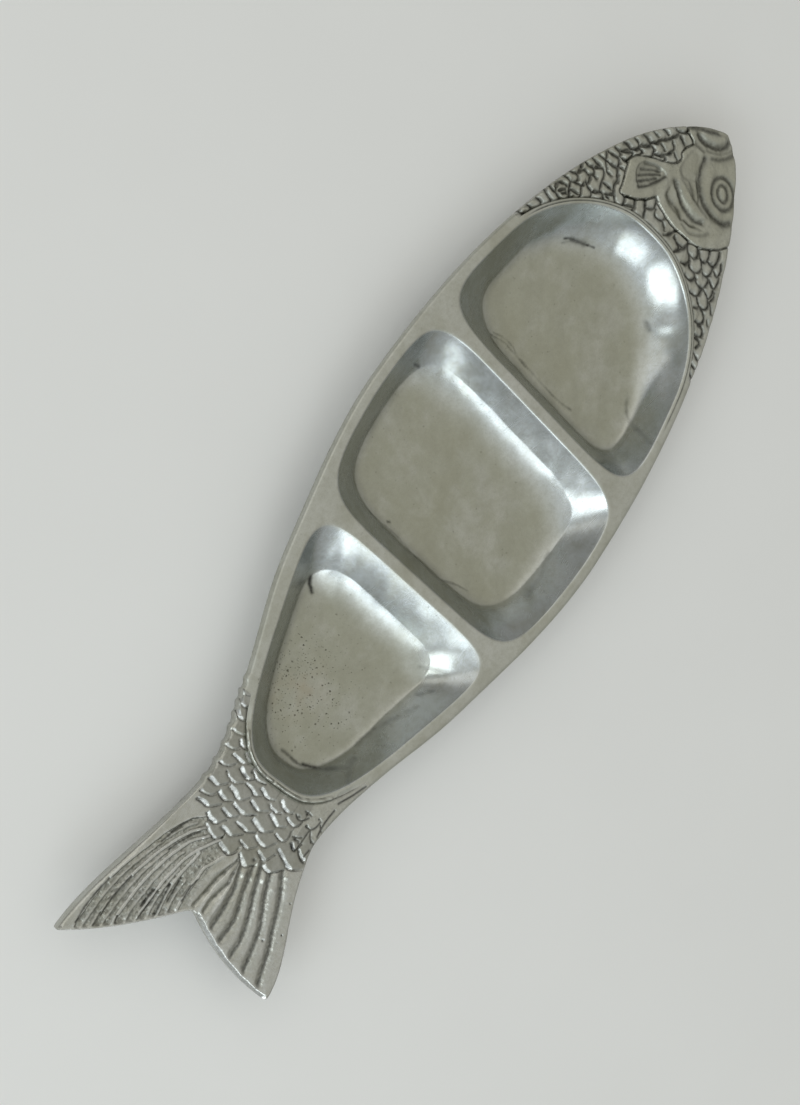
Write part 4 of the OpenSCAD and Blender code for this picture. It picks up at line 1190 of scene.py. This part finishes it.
def floor_material():
    material = bpy.data.materials.new("studio_floor")
    material.use_nodes = True
    n = Nodes(material.node_tree)
    place = n.add("ShaderNodeTexCoord").outputs["Object"]
    colour = n.mix(n.noise(place, 9.0, 3.0), (0.78, 0.775, 0.76, 1), (0.82, 0.815, 0.80, 1))
    shader = n.add("ShaderNodeBsdfPrincipled", {"Base Color": colour, "Roughness": 0.9, "Specular IOR Level": 0.1})
    out = n.add("ShaderNodeOutputMaterial")
    n.put(out.inputs["Surface"], shader.outputs["BSDF"])
    return material


# The fourth colour is painted sheen: a bluish tint for reflections on the polished walls, a pale tint for painted
# highlights on the relief
POLISH_AND_SHEEN = casting_material(
    "polished_casting", (0.55, 0.555, 0.505), (0.49, 0.495, 0.44), (0.415, 0.415, 0.335), (0.55, 0.585, 0.595),
    0.40, 0.25,
)
RELIEF = casting_material(
    "relief_casting", (0.55, 0.555, 0.52), (0.48, 0.48, 0.44), (0.44, 0.44, 0.37), (0.80, 0.81, 0.80), 0.27, 0.22,
)

# Step of the relief's net in millimetres, and the angles from which an edge is shaded sharp
NET_STEP, PLAIN_SHARP, RELIEF_SHARP = 0.42, 50, 75
for well in WELLS:
    make_piece(well, well_shell(well), POLISH_AND_SHEEN, [well], PLAIN_SHARP)
make_piece("rim", rim_shell(), POLISH_AND_SHEEN, ["rim"], PLAIN_SHARP)
make_piece(
    "head", relief_plate("head", head_relief, RIM_LOW, NET_STEP), RELIEF,
    ["head_plate", "head_scales", "gill_cover", "pectoral_fin", "snout", "eye_ring", "eye", "lips"], RELIEF_SHARP,
)
make_piece(
    "tail", relief_plate("tail", tail_relief, TAIL_LOW, NET_STEP), RELIEF,
    ["tail_stock", "tail_scales", "upper_lobe", "upper_lobe_rays", "lower_lobe", "lower_lobe_rays"], RELIEF_SHARP,
)

# Floor
FLOOR_SIDE = 3.0
floor_mesh = bpy.data.meshes.new("floor")
floor_mesh.from_pydata(
    [(FLOOR_SIDE * i, FLOOR_SIDE * j, 0) for i, j in ((-1, -1), (1, -1), (1, 1), (-1, 1))], [], [(0, 1, 2, 3)],
)
floor_mesh.materials.append(floor_material())
floor = bpy.data.objects.new("floor", floor_mesh)
bpy.context.scene.collection.objects.link(floor)


def lamp(name, towards, distance_m, size, watts, colour):
    """A soft box that shines on the platter from a direction."""
    data = bpy.data.lights.new(name, "AREA")
    data.shape, data.size, data.size_y = "RECTANGLE", *size
    data.energy, data.color = watts, colour
    light = bpy.data.objects.new(name, data)
    way = Vector(towards).normalized()
    light.location = way * distance_m
    light.rotation_mode = "QUATERNION"
    light.rotation_quaternion = way.to_track_quat("Z", "Y")
    bpy.context.scene.collection.objects.link(light)


lamp("window_left", (-0.82, -0.34, 0.54), 1.7, (0.55, 0.8), 2.8, (0.88, 0.96, 1.0))
lamp("window_right", (-0.80, 0.37, 0.54), 1.7, (1.0, 0.8), 6.0, (0.88, 0.96, 1.0))
lamp("fill", (0.15, 0.75, 0.65), 1.9, (1.8, 1.2), 3.0, (1.0, 0.99, 0.96))

world = bpy.data.worlds.new("studio")
world.use_nodes = True
w = Nodes(world.node_tree)
way = w.add("ShaderNodeSeparateXYZ", {"Vector": w.add("ShaderNodeTexCoord").outputs["Generated"]}).outputs
sky = w.mix(w.span(way["Z"], 0.05, 0.85), (0.28, 0.28, 0.27, 1), (0.64, 0.64, 0.60, 1))
glow = w.math("MULTIPLY", w.span(way["X"], 0.1, -0.9), w.span(way["Z"], -0.05, 0.3), clamp=True)
sky = w.mix(w.math("MULTIPLY", glow, 0.6), sky, (0.76, 0.83, 0.87, 1))
backdrop = w.add("ShaderNodeBackground", {"Color": sky, "Strength": 1.0})
w.put(w.add("ShaderNodeOutputWorld").inputs["Surface"], backdrop.outputs[0])
bpy.context.scene.world = world

# Camera, from the perspective of the photograph
FOCAL_PX, LONG_SIDE_PX, SENSOR_W = 1600.0, 1105.0, 36.0
camera_data = bpy.data.cameras.new("camera")
camera_data.sensor_width = SENSOR_W
camera_data.lens = FOCAL_PX / LONG_SIDE_PX * SENSOR_W
camera = bpy.data.objects.new("camera", camera_data)
right, up_axis = Vector((0.5464, -0.7231, 0.4226)), Vector((0.7978, 0.6029, 0.0))
back = right.cross(up_axis).normalized()
camera.matrix_world = Matrix.LocRotScale(
    Vector((-0.21566, 0.26157, RIM_Z * MM + 0.66407)),
    Matrix((right.normalized(), up_axis.normalized(), back)).transposed(),
    None,
)
bpy.context.scene.collection.objects.link(camera)
bpy.context.scene.camera = camera
bpy.context.scene.view_settings.view_transform = "Standard"
